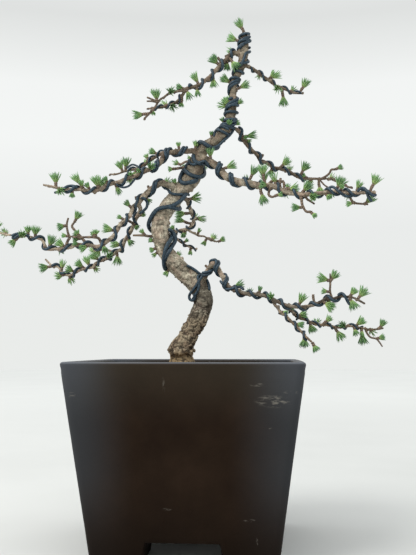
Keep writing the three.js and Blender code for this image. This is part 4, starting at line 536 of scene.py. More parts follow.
# Loops, crossings and free ends of the wires, drawn in the front elevation as (across, up) on a limb. They
# lie on its bark, or a third number says how far they stand in front of its centre line.
LAID = {
    "trunk_wire": [
        ("trunk", [
            (-26, 290), (-22.5, 287), (-20.3, 283), (-20, 279), (-22, 275), (-25, 270), (-28, 265),
            (-30.6, 259),
        ]),
        ("trunk", [
            (-6.7, 355), (-11.5, 348.3), (-15, 341.5), (-15.5, 337), (-11.5, 334.6), (-4.8, 335.6),
            (2, 337.5),
        ]),
        ("trunk", [(-29, 312), (-24, 312.5), (-18.5, 315), (-13, 319.5), (-9, 325)]),
        ("trunk", [(11.5, 354.8), (6, 353.6), (0.5, 354.6), (-2.5, 358.5), (-2.7, 363)]),
    ],
    "leader_wire": [
        ("trunk", [(36.5, 390), (35.5, 385), (31.5, 380), (26.5, 375.5), (21.5, 371), (15.5, 368.2)]),
        ("trunk", [(17.5, 380.3), (18.6, 385), (22.6, 388.6), (27.6, 389), (32, 386.4)]),
        ("trunk", [(42.5, 467), (45, 470.5), (49, 473.6), (51.6, 477)]),
    ],
    "left_high_wire": [
        ("left_high", [
            (-116, 332.5), (-121, 334), (-126, 333.6), (-130.5, 331), (-134, 328.6), (-139.3, 327.6),
        ]),
    ],
    "left_high_fork_wire": [
        ("left_high_fork", [
            (-68, 350), (-65.3, 352.6), (-62, 354), (-58, 352.7), (-54.8, 350.2), (-53, 347),
        ]),
        ("left_high", [(-78, 335), (-74.6, 332.6), (-70, 331.6), (-65.5, 333), (-62, 336.5), (-59, 340.5)]),
    ],
    "left_low_wire": [
        ("left_low", [(-53.5, 321), (-50, 320), (-47.4, 316.3), (-48, 311.5), (-51.5, 308), (-55, 305.5)]),
        ("left_low_front", [(-163, 284), (-166, 286), (-170.3, 287.6), (-176, 287.4), (-181, 285.5)]),
    ],
    "right_main_wire": [
        ("right_main", [
            (126.3, 327.7), (130, 328.4), (133.8, 325.8), (137.4, 322.5), (141, 319.8), (144.7, 319),
            (149, 319.6),
        ]),
        ("right_main", [
            (153, 323.5), (156, 326.4), (159.2, 326.6), (161.6, 323.7), (162.8, 319.2), (164.6, 315.9),
            (166.4, 313.6),
        ]),
    ],
    "right_low_wire": [
        ("trunk", [
            (-9, 255), (-5, 253), (-1, 250.5), (3, 247.3), (7, 244.8), (10.5, 240.5), (12.4, 235.7),
            (13, 231),
        ]),
        ("trunk", [
            (9, 248, 8.5), (5, 243, 10), (1.5, 237.5, 10), (-2.4, 231.7, 9), (-5.4, 228, 7), (-6.4, 225, 6),
            (-5.6, 222.4, 6), (-3.2, 221.4, 6.5), (-1.1, 222.8, 7.5), (-0.8, 225.4, 8.5), (-2.4, 227.6, 9.5),
        ]),
        ("right_low", [
            (23, 240), (26, 236.3), (28, 232.5), (31.7, 231.9), (38.7, 233.8), (42.5, 233.8), (45.6, 231.2),
        ]),
        ("right_low", [
            (133, 225.5), (136.5, 227.3), (139.3, 225.2), (141, 222), (142.5, 219), (144.4, 216.4),
        ]),
    ],
}

# Scuffs on the front of the pot: (across, up, width, height, strength).
POT_MARKS = [
    (72, 134, 34, 12, 0.42), (60, 147, 16, 4, 0.315), (86, 141, 14, 4, 0.245), (-16, 146, 3, 20, 0.245),
    (52, 38, 12, 3, 0.42), (-15, 46, 9, 2.5, 0.42), (58, 21, 2, 8, 0.35), (70, 112, 5, 2, 0.35),
    (-92, 138, 8, 6, 0.245),
]

# ---------------------------------------------------------------- centre lines


def unit(vectors):
    return vectors / np.linalg.norm(vectors, axis=-1, keepdims=True)


def placed(across, up, back):
    """Where a point drawn in the front elevation lies in space."""
    on_elevation = np.array([across, 0.0, up])
    return VIEW_POINT + (on_elevation - VIEW_POINT) * (1 - back / VIEW_POINT[1])


def drawn(points):
    """Points in space back in the front elevation, as (across, up)."""
    k = VIEW_POINT[1] / (VIEW_POINT[1] - points[:, 1:2])
    return (VIEW_POINT + (points - VIEW_POINT) * k)[:, [0, 2]]


def smooth_curve(knots, steps):
    """Points and slopes of a Catmull-Rom curve through knots, with the position of each among the knots."""
    padded = np.vstack([2 * knots[0] - knots[1], knots, 2 * knots[-1] - knots[-2]])
    last = len(knots) - 1
    position = np.linspace(0, last, last * steps + 1)
    i = np.minimum(position.astype(int), last - 1)
    t = (position - i)[:, None]
    a, b, c, d = (padded[i + k] for k in range(4))
    linear, square, cube = c - a, 2 * a - 5 * b + 4 * c - d, 3 * b - a - 3 * c + d
    points = b + 0.5 * (linear * t + square * t**2 + cube * t**3)
    slopes = 0.5 * (linear + 2 * square * t + 3 * cube * t**2)
    return points, slopes, position


def carried(directions, reference):
    """Cross directions that follow a line without twisting about it."""
    across = []
    current = reference
    for direction in directions:
        current = unit(current - direction * current.dot(direction))
        across.append(current)
    return np.array(across)


class Spine:
    """The centre line of a limb or stem: points, directions, radii and distances from its foot."""

    def __init__(self, knots, radii, reference, steps=LIMB_STEPS):
        self.point, slopes, position = smooth_curve(np.array(knots), steps)
        self.along = unit(slopes)
        self.across = carried(self.along, reference)
        self.side = np.cross(self.along, self.across)
        self.radius = np.interp(position, np.arange(len(radii)), radii)
        lengths = np.linalg.norm(np.diff(self.point, axis=0), axis=1)
        self.distance = np.concatenate([[0], np.cumsum(lengths)])

    def at(self, distance):
        """The point, direction, cross directions and radius at a distance from the foot."""
        rows = (self.point, self.along, self.across, self.side, self.radius[:, None])
        return [np.array([np.interp(distance, self.distance, part) for part in row.T]) for row in rows]

    def nearest(self, point):
        return int(np.argmin(np.linalg.norm(self.point - point, axis=1)))


def make_spines():
    spines = {}
    for name, (parent, rows) in ROUTES.items():
        knots = [placed(*row[:3]) for row in rows]
        if parent:
            knots[0] = spines[parent].point[spines[parent].nearest(knots[0])]
        girth = BRANCH_GIRTH if parent else 1.0
        spines[name] = Spine(knots, [row[3] * girth for row in rows], UP if parent else RIGHT)
    return spines


# ---------------------------------------------------------------- meshes


def store(mesh, name, values):
    mesh.attributes.new(name, "FLOAT", "POINT").data.foreach_set("value", values.astype(np.float32))


def points_of(mesh, normals=False):
    found = np.zeros(len(mesh.vertices) * 3)
    mesh.vertices.foreach_get("normal" if normals else "co", found)
    return found.reshape(-1, 3)


def linked(name, data):
    """A new object of the scene."""
    made = bpy.data.objects.new(name, data)
    bpy.context.scene.collection.objects.link(made)
    return made


def piece_of(name, mesh, material=None, smooth=True):
    """A mesh as one piece, all of one material."""
    mesh.polygons.foreach_set("use_smooth", [smooth] * len(mesh.polygons))
    mesh.materials.clear()
    if material:
        mesh.materials.append(material)
    return linked(name, mesh)


def show(piece, slot, *nodes):
    """Puts a finished piece on the object, in place of the CAD nodes that it stands for. Its slot is not
    used.
    """
    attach(piece, "root")
    if nodes:
        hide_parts(*nodes)


class Shells:
    """Collects closed shells in mm, with values at their points, and makes one piece of them."""

    def __init__(self):
        self.points = []
        self.faces = []
        self.values = {}
        self.count = 0

    def add(self, points, faces, **values):
        self.points.append(points)
        self.faces += [[corner + self.count for corner in face] for face in faces]
        for name, value in values.items():
            self.values.setdefault(name, []).append(np.broadcast_to(value, len(points)))
        self.count += len(points)

    def make(self, name, material=None, smooth=True):
        mesh = bpy.data.meshes.new(name)
        mesh.from_pydata((np.vstack(self.points) * MM).tolist(), [], self.faces)
        for key, parts in self.values.items():
            store(mesh, key, np.concatenate(parts))
        return piece_of(name, mesh, material, smooth)


def loft_faces(rings, sides, wraps=False):
    """Faces of a tube through rings of points. Its ends are closed, or it wraps round to its first ring."""
    k = np.arange(sides)
    step = np.stack([k, (k + 1) % sides, (k + 1) % sides + sides, k + sides], axis=1)
    rows = np.arange(rings if wraps else rings - 1)[:, None, None] * sides
    faces = (step[None] + rows).reshape(-1, 4) % (rings * sides)
    ends = [] if wraps else [k[::-1].tolist(), (k + (rings - 1) * sides).tolist()]
    return faces.tolist() + ends


def around(turn, across, side):
    """Directions at some turns about a line, from its two cross directions."""
    return np.cos(turn)[:, None] * across + np.sin(turn)[:, None] * side


def tube(point, across, side, radius, sides):
    """Points of a tube, ring by ring. The radius is one value to a ring."""
    turn = np.arange(sides) / sides * 2 * math.pi
    out = around(turn, across[:, None], side[:, None])
    return (point[:, None] + radius[:, None, None] * out).reshape(-1, 3)


def field(points, size, seed=0.0):
    """Smooth noise of about -1 to 1 at each point, in lumps of about `size`."""
    return np.array([noise.noise(Vector(p)) for p in (points / size + seed).tolist()])


def smoothstep(values, low, high):
    t = np.clip((values - low) / (high - low), 0, 1)
    return t * t * (3 - 2 * t)


# ---------------------------------------------------------------- materials


def colour(code):
    """A hex colour as the linear values that a shader takes."""
    parts = [int(code[i:i + 2], 16) / 255 for i in (1, 3, 5)]
    return tuple(p / 12.92 if p <= 0.04045 else ((p + 0.055) / 1.055) ** 2.4 for p in parts) + (1.0,)


def fill_ramp(node, stops):
    """Gives a colour ramp its stops, as (position, hex colour)."""
    elements = node.color_ramp.elements
    while len(elements) < len(stops):
        elements.new(1.0)
    for element, (position, code) in zip(elements, stops):
        element.position = position
        element.color = colour(code)


class Shader:
    """A procedural material, built node by node."""

    def __init__(self, name, **surface):
        self.material = bpy.data.materials.new(name)
        self.material.use_nodes = True
        self.nodes = self.material.node_tree.nodes
        self.surface = self.nodes["Principled BSDF"]
        self.set(self.surface, **surface)
        self.place = self.node("TexCoord").outputs["Object"]

    def feed(self, socket, value):
        """Links an output to a socket, or gives the socket a value or hex colour of its own."""
        if isinstance(value, bpy.types.NodeSocket):
            self.material.node_tree.links.new(value, socket)
        else:
            socket.default_value = colour(value) if isinstance(value, str) else value

    def set(self, node, **inputs):
        for key, value in inputs.items():
            self.feed(node.inputs[key.replace("_", " ")], value)

    def node(self, kind, settings=None, **inputs):
        node = self.nodes.new("ShaderNode" + kind)
        for key, value in (settings or {}).items():
            setattr(node, key, value)
        self.set(node, **inputs)
        return node

    def axes(self):
        """The place's X, Y and Z, in metres."""
        return self.node("SeparateXYZ", Vector=self.place).outputs

    def noise(self, size, detail=3.0, roughness=0.55, stretch=(1, 1, 1)):
        """Noise with lumps of about `size` mm, stretched by a factor along each axis."""
        scale = tuple(1 / s for s in stretch)
        mapped = self.node("Mapping", Vector=self.place, Scale=scale).outputs["Vector"]
        made = self.node("TexNoise", Vector=mapped, Scale=1000 / size, Detail=detail, Roughness=roughness)
        return made.outputs["Fac"]

    def value(self, name):
        """A value stored at the mesh's points."""
        return self.node("Attribute", {"attribute_name": name}).outputs["Fac"]

    def ramp(self, factor, *stops):
        made = self.node("ValToRGB", Fac=factor)
        fill_ramp(made, stops)
        return made.outputs["Color"]

    def span(self, value, low, high, to_low=0.0, to_high=1.0):
        """A value from a range carried smoothly to another range."""
        made = self.node("MapRange", {"interpolation_type": "SMOOTHSTEP"}, Value=value)
        self.set(made, From_Min=low, From_Max=high, To_Min=to_low, To_Max=to_high)
        return made.outputs["Result"]

    def maths(self, operation, a, b=0.0):
        made = self.node("Math", {"operation": operation})
        self.feed(made.inputs[0], a)
        self.feed(made.inputs[1], b)
        return made.outputs[0]

    def times(self, a, b):
        return self.maths("MULTIPLY", a, b)

    def mix(self, factor, a, b, blend="MIX"):
        """Two colours mixed. A mix node has sockets for every kind of value: those for colours are used."""
        made = self.node("Mix", {"data_type": "RGBA", "blend_type": blend})
        for place, value in ((0, factor), (6, a), (7, b)):
            self.feed(made.inputs[place], value)
        return made.outputs[2]

    def coated(self, base, *coats):
        """A colour under coats, each given as how much there is of it, its colour and how it is blended."""
        for coat in coats:
            base = self.mix(coat[0], base, *coat[1:])
        return base

    def bump(self, height, depth):
        """Relief of about `depth` mm."""
        made = self.node("Bump", Height=height, Distance=depth * MM, Strength=1.0)
        self.set(self.surface, Normal=made.outputs["Normal"])

    def finish(self, base, roughness):
        self.set(self.surface, Base_Color=base, Roughness=roughness)
        return self.material


def bark_material():
    s = Shader("bark", Specular_IOR_Level=0.25)
    height = s.axes()["Z"]
    patches = s.noise(14, 4)
    grain = s.noise(3.4, 5, 0.66, (1.5, 1.5, 0.8))
    specks = s.noise(1.1, 3, 0.7)
    seams = s.noise(2.6, 4, 0.6, (1.0, 1.0, 3.2))
    old = s.ramp(grain, (0.28, "#4b4640"), (0.42, "#8f8878"), (0.55, "#bcb39e"), (0.7, "#e6dfca"))
    young = s.ramp(grain, (0.28, "#544a41"), (0.45, "#938676"), (0.6, "#bcad98"), (0.75, "#dccfb8"))
    base = s.coated(
        s.mix(s.value("age"), young, old),
        (s.span(patches, 0.45, 0.6, 0.0, 0.6), "#77706a", "MULTIPLY"),
        (s.span(s.noise(6, 3, 0.6), 0.48, 0.62, 0.0, 0.4), "#b09684"),
        (s.span(specks, 0.56, 0.7, 0.0, 0.6), "#3a332c"),
        (s.span(seams, 0.55, 0.66, 0.0, 0.6), "#3f3731"),
        # Tints by height: painted shade on the tree's upper half and the trunk's lower bend, its foot, the
        # wood at the soil.
        # painted shade: all wood above this height is darkened, standing in for the wires' shade
        (s.span(height, 0.325, 0.345, 0.0, 0.8), "#a8a19c", "MULTIPLY"),
        # painted shadow: a darker band round the trunk's bend, below its low branch
        (s.times(s.span(height, 0.2, 0.22), s.span(height, 0.245, 0.225)), "#a3a2a2", "MULTIPLY"),
        (s.span(height, 0.215, 0.2, 0.0, 0.8), "#b4a797", "MULTIPLY"),
        (s.span(height, 0.176, 0.168, 0.0, 0.7), "#8d7857"),
        (s.span(s.value("crack"), 0.15, 0.9, 0.0, 0.85), "#2b231c"),
    )
    s.bump(s.maths("ADD", grain, s.times(specks, 0.6)), 0.5)
    return s.finish(base, s.span(patches, 0.3, 0.7, 0.75, 0.95))


def spur_material():
    s = Shader("spur", Specular_IOR_Level=0.25)
    grain = s.noise(0.9, 4, 0.65)
    base = s.ramp(grain, (0.3, "#332a24"), (0.5, "#564940"), (0.7, "#806f60"))
    base = s.mix(s.span(s.value("ring"), 0.35, 0.9, 0.0, 0.6), base, "#93816d")
    s.bump(grain, 0.25)
    return s.finish(base, 0.85)


def needle_material():
    s = Shader("needles", Specular_IOR_Level=0.4)
    reach = s.value("reach")
    fresh = s.ramp(reach, (0.0, "#bcbd88"), (0.3, "#9ab670"), (0.65, "#7ba76a"), (1.0, "#6b9b66"))
    deep = s.ramp(reach, (0.0, "#98a468"), (0.28, "#668f55"), (0.6, "#4b7a52"), (1.0, "#3f6c4e"))
    base = s.mix(s.value("tone"), deep, fresh)
    base = s.mix(s.span(s.noise(2.0, 2), 0.35, 0.65, 0.0, 0.25), base, "#b4cc86")
    return s.finish(base, 0.5)


def wire_material():
    s = Shader("wire", Metallic=0.2, Specular_IOR_Level=0.4)
    wear = s.noise(2.4, 4, 0.6)
    base = s.ramp(wear, (0.35, "#1f2d37"), (0.55, "#2c3e4a"), (0.72, "#465a68"))
    s.bump(s.noise(0.8, 3), 0.08)
    return s.finish(base, s.span(wear, 0.3, 0.7, 0.4, 0.58))


def mark(s, axes, x, z, width, height, strength):
    """How much a scuff at one place on the pot's front shows."""
    across = s.maths("DIVIDE", s.maths("SUBTRACT", axes["X"], x * MM), width / 2 * MM)
    upward = s.maths("DIVIDE", s.maths("SUBTRACT", axes["Z"], z * MM), height / 2 * MM)
    away = s.maths("ADD", s.maths("POWER", across, 2.0), s.maths("POWER", upward, 2.0))
    front = s.times(s.span(away, 1.0, 0.1), s.span(axes["Y"], -0.02, -0.03))
    stroke = (4, 1, 1) if width > height else (1, 1, 4)
    return s.times(front, s.span(s.noise(2.2, 3, 0.7, stroke), 0.48, 0.66, 0.0, strength))


def pot_material():
    s = Shader("pot", Specular_IOR_Level=0.07)
    clouds = s.noise(46, 5, 0.6)
    drift = s.noise(120, 2, 0.5)
    pores = s.noise(1.2, 4, 0.7)
    axes = s.axes()
    height = axes["Z"]
    across = s.maths("ABSOLUTE", s.maths("SUBTRACT", axes["X"], POT_X * MM))
    aside = s.maths("MINIMUM", across, s.maths("ABSOLUTE", axes["Y"]))  # grows towards the pot's corners
    # how strongly the painted reflection on the sides shows: faint at the foot, full higher up
    low = s.span(height, 0.01, 0.08, 0.15, 0.95)
    top = s.times(s.span(height, 0.11, 0.17), s.span(drift, 0.25, 0.7, 0.7, 1.0))
    base = s.coated(
        s.ramp(clouds, (0.3, "#1a0f07"), (0.5, "#20150c"), (0.72, "#271b12")),
        (s.span(height, 0.07, 0.0, 0.0, 0.75), "#100803"),
        # painted reflection: blue-grey towards the sides and corners of each face, as a glossy face would
        # mirror the bright studio
        (s.times(s.span(aside, 0.035, 0.097), low), "#323437"),
        (s.times(top, 0.4), "#423d33"),
        # painted sheen: blue-grey near the top, towards the sides of each face
        (s.times(top, s.span(aside, 0.05, 0.1, 0.0, 0.7)), "#484d55"),
        *[(mark(s, axes, *row), "#8f8a80") for row in POT_MARKS],
        # painted highlight: a pale line along the rim's top edge
        (s.span(height, 0.1632, 0.1645, 0.0, 0.4), "#7b8088"),
    )
    s.bump(s.maths("ADD", s.times(pores, 0.6), s.noise(5, 4, 0.6)), 0.2)
    return s.finish(base, s.span(clouds, 0.3, 0.7, 0.52, 0.62))


def soil_material():
    s = Shader("soil", Specular_IOR_Level=0.2)
    stones = [(0.0, "#2f241c"), (0.35, "#5b3f2b"), (0.62, "#7d5a3d"), (0.8, "#8f8272"), (1.0, "#b0a796")]
    base = s.ramp(s.value("tone"), *stones)
    base = s.mix(s.span(s.noise(1.2, 4, 0.7), 0.4, 0.7, 0.0, 0.5), base, "#3a2c22", "MULTIPLY")
    s.bump(s.noise(0.7, 4, 0.7), 0.3)
    return s.finish(base, 0.95)


def mesh_material():
    s = Shader("net", Specular_IOR_Level=0.4)
    base = s.ramp(s.noise(5, 3), (0.3, "#121416"), (0.7, "#1d2023"))
    s.bump(s.noise(1.0, 2), 0.05)
    return s.finish(base, 0.6)


# ---------------------------------------------------------------- bark


def add_limb(shells, spine):
    """A plain limb, nowhere thinner than the skin can follow."""
    radius = np.maximum(spine.radius, LEAST_SKIN_RADIUS)
    points = tube(spine.point, spine.across, spine.side, radius, LIMB_SIDES)
    shells.add(points, loft_faces(len(radius), LIMB_SIDES))


def add_knob(shells, centre, radius):
    """A small round swelling."""
    rows = np.linspace(0.15, 0.85, KNOB_RINGS) * math.pi
    point = centre + np.cos(rows)[:, None] * radius * UP
    across, side = (np.repeat(axis[None], KNOB_RINGS, 0) for axis in (RIGHT, np.cross(UP, RIGHT)))
    points = tube(point, across, side, np.sin(rows) * radius, KNOB_SIDES)
    shells.add(points, loft_faces(KNOB_RINGS, KNOB_SIDES))


def add_swellings(shells, spines):
    """Small knobs at seeded places all over the limbs."""
    random = np.random.default_rng(21)
    for spine in spines.values():
        for distance in np.arange(SWELL_PITCH, spine.distance[-1], SWELL_PITCH):
            point, _, across, side, radius = spine.at(distance + random.uniform(-0.4, 0.4) * SWELL_PITCH)
            turn = random.uniform(0, 2 * math.pi)
            out = math.cos(turn) * across + math.sin(turn) * side
            size = random.uniform(*SWELL_SIZES) + SWELL_GIRTH * radius[0]
            add_knob(shells, point + out * radius + out * size * SWELL_RISE, size)


def fused(shells):
    """The mesh of the one skin round all of the collected shells."""
    rough = shells.make("rough")
    skin = rough.modifiers.new("skin", "REMESH")
    skin.mode = "VOXEL"
    skin.voxel_size = SKIN_VOXEL * MM
    mesh = bpy.data.meshes.new_from_object(rough.evaluated_get(bpy.context.evaluated_depsgraph_get()))
    bpy.data.objects.remove(rough)
    return mesh


def relax(mesh):
    """Draws each point towards the middle of its neighbours, which rounds the joints between limbs."""
    edges = np.zeros(len(mesh.edges) * 2, int)
    mesh.edges.foreach_get("vertices", edges)
    a, b = edges.reshape(-1, 2).T
    points = points_of(mesh)
    number = np.bincount(edges, minlength=len(points))[:, None]
    for _ in range(SKIN_ROUNDS):
        total = np.zeros_like(points)
        np.add.at(total, a, points[b])
        np.add.at(total, b, points[a])
        points += (total / number - points) * SKIN_SHARE
    mesh.vertices.foreach_set("co", points.ravel())
    mesh.update()


def limb_places(points, spines):
    """For each point: its limb's number, the distance along that limb, the turn about it, and its radius."""
    limbs = list(spines.values())
    rows = [(k, i) for k, spine in enumerate(limbs) for i in range(0, len(spine.point), 3)]
    tree = kdtree.KDTree(len(rows))
    for n, (k, i) in enumerate(rows):
        tree.insert(Vector(limbs[k].point[i]), n)
    tree.balance()

    def outside(hit):
        k, i = rows[hit[1]]
        return hit[2] - limbs[k].radius[i]

    found = []
    for point in points:
        k, i = rows[min(tree.find_n(Vector(point), 6), key=outside)[1]]
        spine = limbs[k]
        offset = point - spine.point[i]
        turn = math.atan2(offset.dot(spine.side[i]), offset.dot(spine.across[i]))
        found.append((k, spine.distance[i] + offset.dot(spine.along[i]), turn, spine.radius[i]))
    return np.array(found).T


def bark_relief(points, spines):
    """How far the bark stands out at each point, with how deep its cracks and how old the wood is there."""
    limb, distance, turn, radius = limb_places(points, spines)
    on_trunk = limb == 0  # the first route is the trunk's
    upper, more = TRUNK_ROUGH
    rough = np.where(on_trunk, upper + more * smoothstep(points[:, 2], *ROUGH_BELOW), BRANCH_ROUGH)
    warp = field(points, 8.0, 3.1)
    round_limb = np.stack([np.cos(turn) * radius / BARK_WIDTH, np.sin(turn) * radius / BARK_WIDTH], axis=1)
    bands = field(np.column_stack([round_limb * 0.7, distance / BAND_LENGTH + warp * 0.9]), 1.0, 7.7)
    plates = field(np.column_stack([round_limb, distance / PLATE_LENGTH + warp * 0.7]), 1.0, 1.3)
    crack = np.maximum(1 - np.abs(bands) / CRACK_WIDTH, 0) * np.maximum(rough, 0.35)
    split = np.maximum(1 - np.abs(plates) / SPLIT_WIDTH, 0) * rough * on_trunk
    large, small = LUMP_SIZES
    lumps = field(points, large) * 1.1 * on_trunk + field(points, small, 9.0) * np.where(on_trunk, 0.6, 0.3)
    rings = np.sin(distance * 2 * math.pi / RING_PITCH + warp * 2) * RING_DEPTH
    size = np.minimum(radius / 8, 1)  # the relief gets flatter on thin wood
    out = lumps * (0.35 + 0.65 * size) + rings + np.abs(bands) * rough * 0.5
    out = out - crack * CRACK_DEPTH * (0.3 + 0.7 * size) - split * SPLIT_DEPTH
    age = np.clip(np.where(on_trunk, 1.0, smoothstep(radius, 1.2, 4.2)), 0, 1)
    return out, np.maximum(crack * (0.3 + 0.7 * size), split), age


def make_bark(spines, material):
    shells = Shells()
    for spine in spines.values():
        add_limb(shells, spine)
    trunk = spines["trunk"]
    for across, up, size in KNOBS:
        axis = trunk.point[trunk.nearest(placed(across, up, 0))]
        front = math.sqrt(max(KNOB_REACH**2 - (across - axis[0]) ** 2, 0))
        add_knob(shells, placed(across, up, axis[1] - front), size)
    add_swellings(shells, spines)
    mesh = fused(shells)
    relax(mesh)
    points = points_of(mesh) / MM
    out, crack, age = bark_relief(points, spines)
    points += points_of(mesh, normals=True) * out[:, None]
    mesh.vertices.foreach_set("co", (points * MM).ravel())
    store(mesh, "crack", crack)
    store(mesh, "age", age)
    piece = piece_of("bark", mesh, material)
    mesh.update()
    show(piece, "bark", "tree")


# ---------------------------------------------------------------- wires


def wire_line(runs, spines, radius):
    """The smooth centre line of a wire, resting on the bark."""
    stations = []
    for limb, places in runs:
        for distance, angle in places:
            point, _, across, side, thickness = spines[limb].at(distance)
            turn = math.radians(angle)
            out = unit(math.cos(turn) * unit(across) + math.sin(turn) * unit(side))
            stations.append(point + out * (thickness + radius * WIRE_SEAT))
    return smooth_curve(np.array(stations), WIRE_FINE)[:2]


def laid_line(limb, rows, spines, radius):
    """The smooth centre line of a strand that is drawn in the elevation, in front of a limb."""
    spine = spines[limb]
    flat = drawn(spine.point)
    stations = []
    for across, up, *lift in rows:
        offsets = np.linalg.norm(flat - [across, up], axis=1)
        i = int(np.argmin(offsets))
        reach = spine.radius[i] + radius * WIRE_SEAT
        out = lift[0] if lift else math.sqrt(max(reach**2 - offsets[i] ** 2, 0))
        stations.append(placed(across, up, spine.point[i][1] - out))
    return smooth_curve(np.array(stations), WIRE_FINE)[:2]


def strand(radius, points, slopes):
    """The skin of one length of wire."""
    along = unit(slopes)
    across = carried(along, UP)
    thickness = np.full(len(points), radius)
    thickness[[0, -1]] *= WIRE_END
    thickness[[1, -2]] *= WIRE_NEXT
    return tube(points, across, np.cross(along, across), thickness, WIRE_SIDES)


def make_wire(name, radius, runs, spines, material):
    """A wire with all of its strands, and the points along them."""
    lines = [wire_line(part, spines, radius) for part in [runs] + [[run] for run in DOUBLED.get(name, [])]]
    lines += [laid_line(limb, rows, spines, radius) for limb, rows in LAID.get(name, [])]
    shells = Shells()
    for points, slopes in lines:
        shells.add(strand(radius, points, slopes), loft_faces(len(points), WIRE_SIDES))
    show(shells.make(name + "_round", material), "wire", name)
    return np.vstack([points for points, _ in lines])


# ---------------------------------------------------------------- spurs, twigs and needles


class Shoots:
    """Spurs, twigs and needle tufts, placed on the limbs between the wires."""

    def __init__(self, spines, wires):
        self.lines = {name: [spine] for name, spine in spines.items()}  # each limb with its twigs
        self.wire_points = np.vstack([points for _, points in wires])
        self.wire_radii = np.concatenate([np.full(len(points), radius) for radius, points in wires])
        self.spurs = Shells()
        self.needles = Shells()
        self.random = np.random.default_rng(5)

    def is_clear(self, start, end, radius):
        """Whether a straight stem is clear of every wire."""
        line = end - start
        t = np.clip((self.wire_points - start) @ line / line.dot(line), 0, 1)
        away = np.linalg.norm(self.wire_points - (start + t[:, None] * line), axis=1)
        return bool(np.all(away > radius + self.wire_radii - SPUR_BITE))

    def clear_foot(self, spine, place, goal, stem):
        """The nearest place on a limb from which a stem towards a goal, as long as `stem` says, is clear."""
        for shift in SPUR_SLIDE:
            i = int(np.argmin(np.abs(spine.distance - spine.distance[place] - shift)))
            heading = unit(goal - spine.point[i])
            if self.is_clear(spine.point[i], spine.point[i] + heading * stem(i), SPUR_RADIUS * 0.8):
                return i
        return place

    def add_stem(self, knots, radii, reference=UP):
        """A twig or spur: a ringed, slightly knotted tube."""
        spine = Spine(knots, radii, reference, SPUR_STEPS)
        wave = np.cos(spine.distance * 2 * math.pi / SPUR_PITCH)
        radius = spine.radius * (1 + 0.1 * wave) + 0.03
        points = tube(spine.point, spine.across, spine.side, radius, SPUR_SIDES)
        ring = np.repeat(0.5 + 0.5 * wave, SPUR_SIDES)
        self.spurs.add(points, loft_faces(len(radius), SPUR_SIDES), ring=ring)
        return spine

    def add_tuft(self, top, direction, length, fullness):
        """A brush of needles on the top of a spur."""
        draw = self.random
        count = int(NEEDLES * fullness * draw.uniform(0.9, 1.1))
        spread = math.radians(draw.uniform(*TUFT_SPREAD) * (0.7 + 0.4 * fullness))
        across = unit(np.cross(direction, RIGHT if abs(direction[0]) < 0.8 else UP))
        k = np.arange(count)
        out = around(k * NEEDLE_TURN + draw.uniform(-0.3, 0.3, count), across, np.cross(direction, across))
        inward = np.sqrt((k + 0.5) / count)  # 0 in the middle of the tuft and 1 at its edge
        lean = spread * inward * draw.uniform(0.85, 1.15, count)
        heading = around(lean, direction, out)
        root = top + out * (TUFT_RADIUS * inward)[:, None] - direction * 0.6
        reach = length * draw.uniform(*NEEDLE_REACH, count) * np.cos(lean * 0.6)
        curl = draw.uniform(*NEEDLE_CURL, count)
        flat = unit(np.cross(heading, out))
        third = np.cross(heading, flat)
        middle = root[:, None] + (heading * reach[:, None])[:, None] * NEEDLE_STEPS[:, None]
        middle += (out * (reach * curl)[:, None])[:, None] * (NEEDLE_STEPS**2)[:, None]
        section = around(np.arange(3) / 3 * 2 * math.pi, flat[:, None], third[:, None])
        points = middle[:, :, None] + section[:, None] * (NEEDLE_RADIUS * NEEDLE_TAPER)[:, None, None]
        rings = len(NEEDLE_STEPS)
        faces = []
        for corners in (4, 3):
            sides = np.array([face for face in loft_faces(rings, 3) if len(face) == corners])
            faces += (sides[None] + (k * rings * 3)[:, None, None]).reshape(-1, corners).tolist()
        tone = np.clip(draw.uniform(0, 1) * 0.8 + draw.uniform(0, 0.3, count), 0, 1)
        values = {"reach": np.tile(np.repeat(NEEDLE_STEPS, 3), count), "tone": np.repeat(tone, rings * 3)}
        self.needles.add(points.reshape(-1, 3), faces, **values)

    def add_spur(self, name, across, up, dx, dz, dy, fullness=1):
        """A short spur drawn at a place on a limb or its twigs. Its needles end (dx, dz, dy) from there."""
        offsets = [np.linalg.norm(drawn(line.point) - [across, up], axis=1) for line in self.lines[name]]
        nearest = int(np.argmin([offset.min() for offset in offsets]))
        spine, place = self.lines[name][nearest], int(np.argmin(offsets[nearest]))
        goal = placed(across + dx, up + dz, spine.point[place][1] + dy)
        reach = np.linalg.norm(goal - spine.point[place])
        free = reach - spine.radius[place] - SPUR_REACH
        needle = np.clip(free, LEAST_NEEDLE, MOST_NEEDLE) if fullness else 0.0

        def stem(i):
            return max(spine.radius[i] + SPUR_REACH, np.linalg.norm(goal - spine.point[i]) - needle)

        place = self.clear_foot(spine, place, goal, stem)
        direction = unit(goal - spine.point[place])
        foot = spine.point[place] + direction * max(0, spine.radius[place] - 1)
        top = spine.point[place] + direction * stem(place)
        sway = unit(np.cross(direction, self.random.normal(size=3))) * np.linalg.norm(top - foot) * 0.06
        knots = [foot, (foot * 2 + top) / 3 + sway, (foot + top * 2) / 3 + sway, top]
        thick = SPUR_RADIUS * (0.85 + 0.15 * fullness)
        self.add_stem(knots, [thick * 1.05, thick * 0.85, thick, thick * 0.9], spine.along[place])
        if fullness:
            self.add_tuft(top, direction, needle, fullness)

    def add_twig(self, parent, rows):
        """An unwired twig, its foot slid along its branch to clear the wires."""
        spine = self.lines[parent][0]
        knots = np.array([placed(*row[:3]) for row in rows])
        place = spine.nearest(knots[0])
        place = self.clear_foot(spine, place, knots[1], lambda i: spine.radius[i] + SPUR_REACH)
        knots[0] = spine.point[place]
        self.lines[parent].append(self.add_stem(knots, [row[3] for row in rows]))


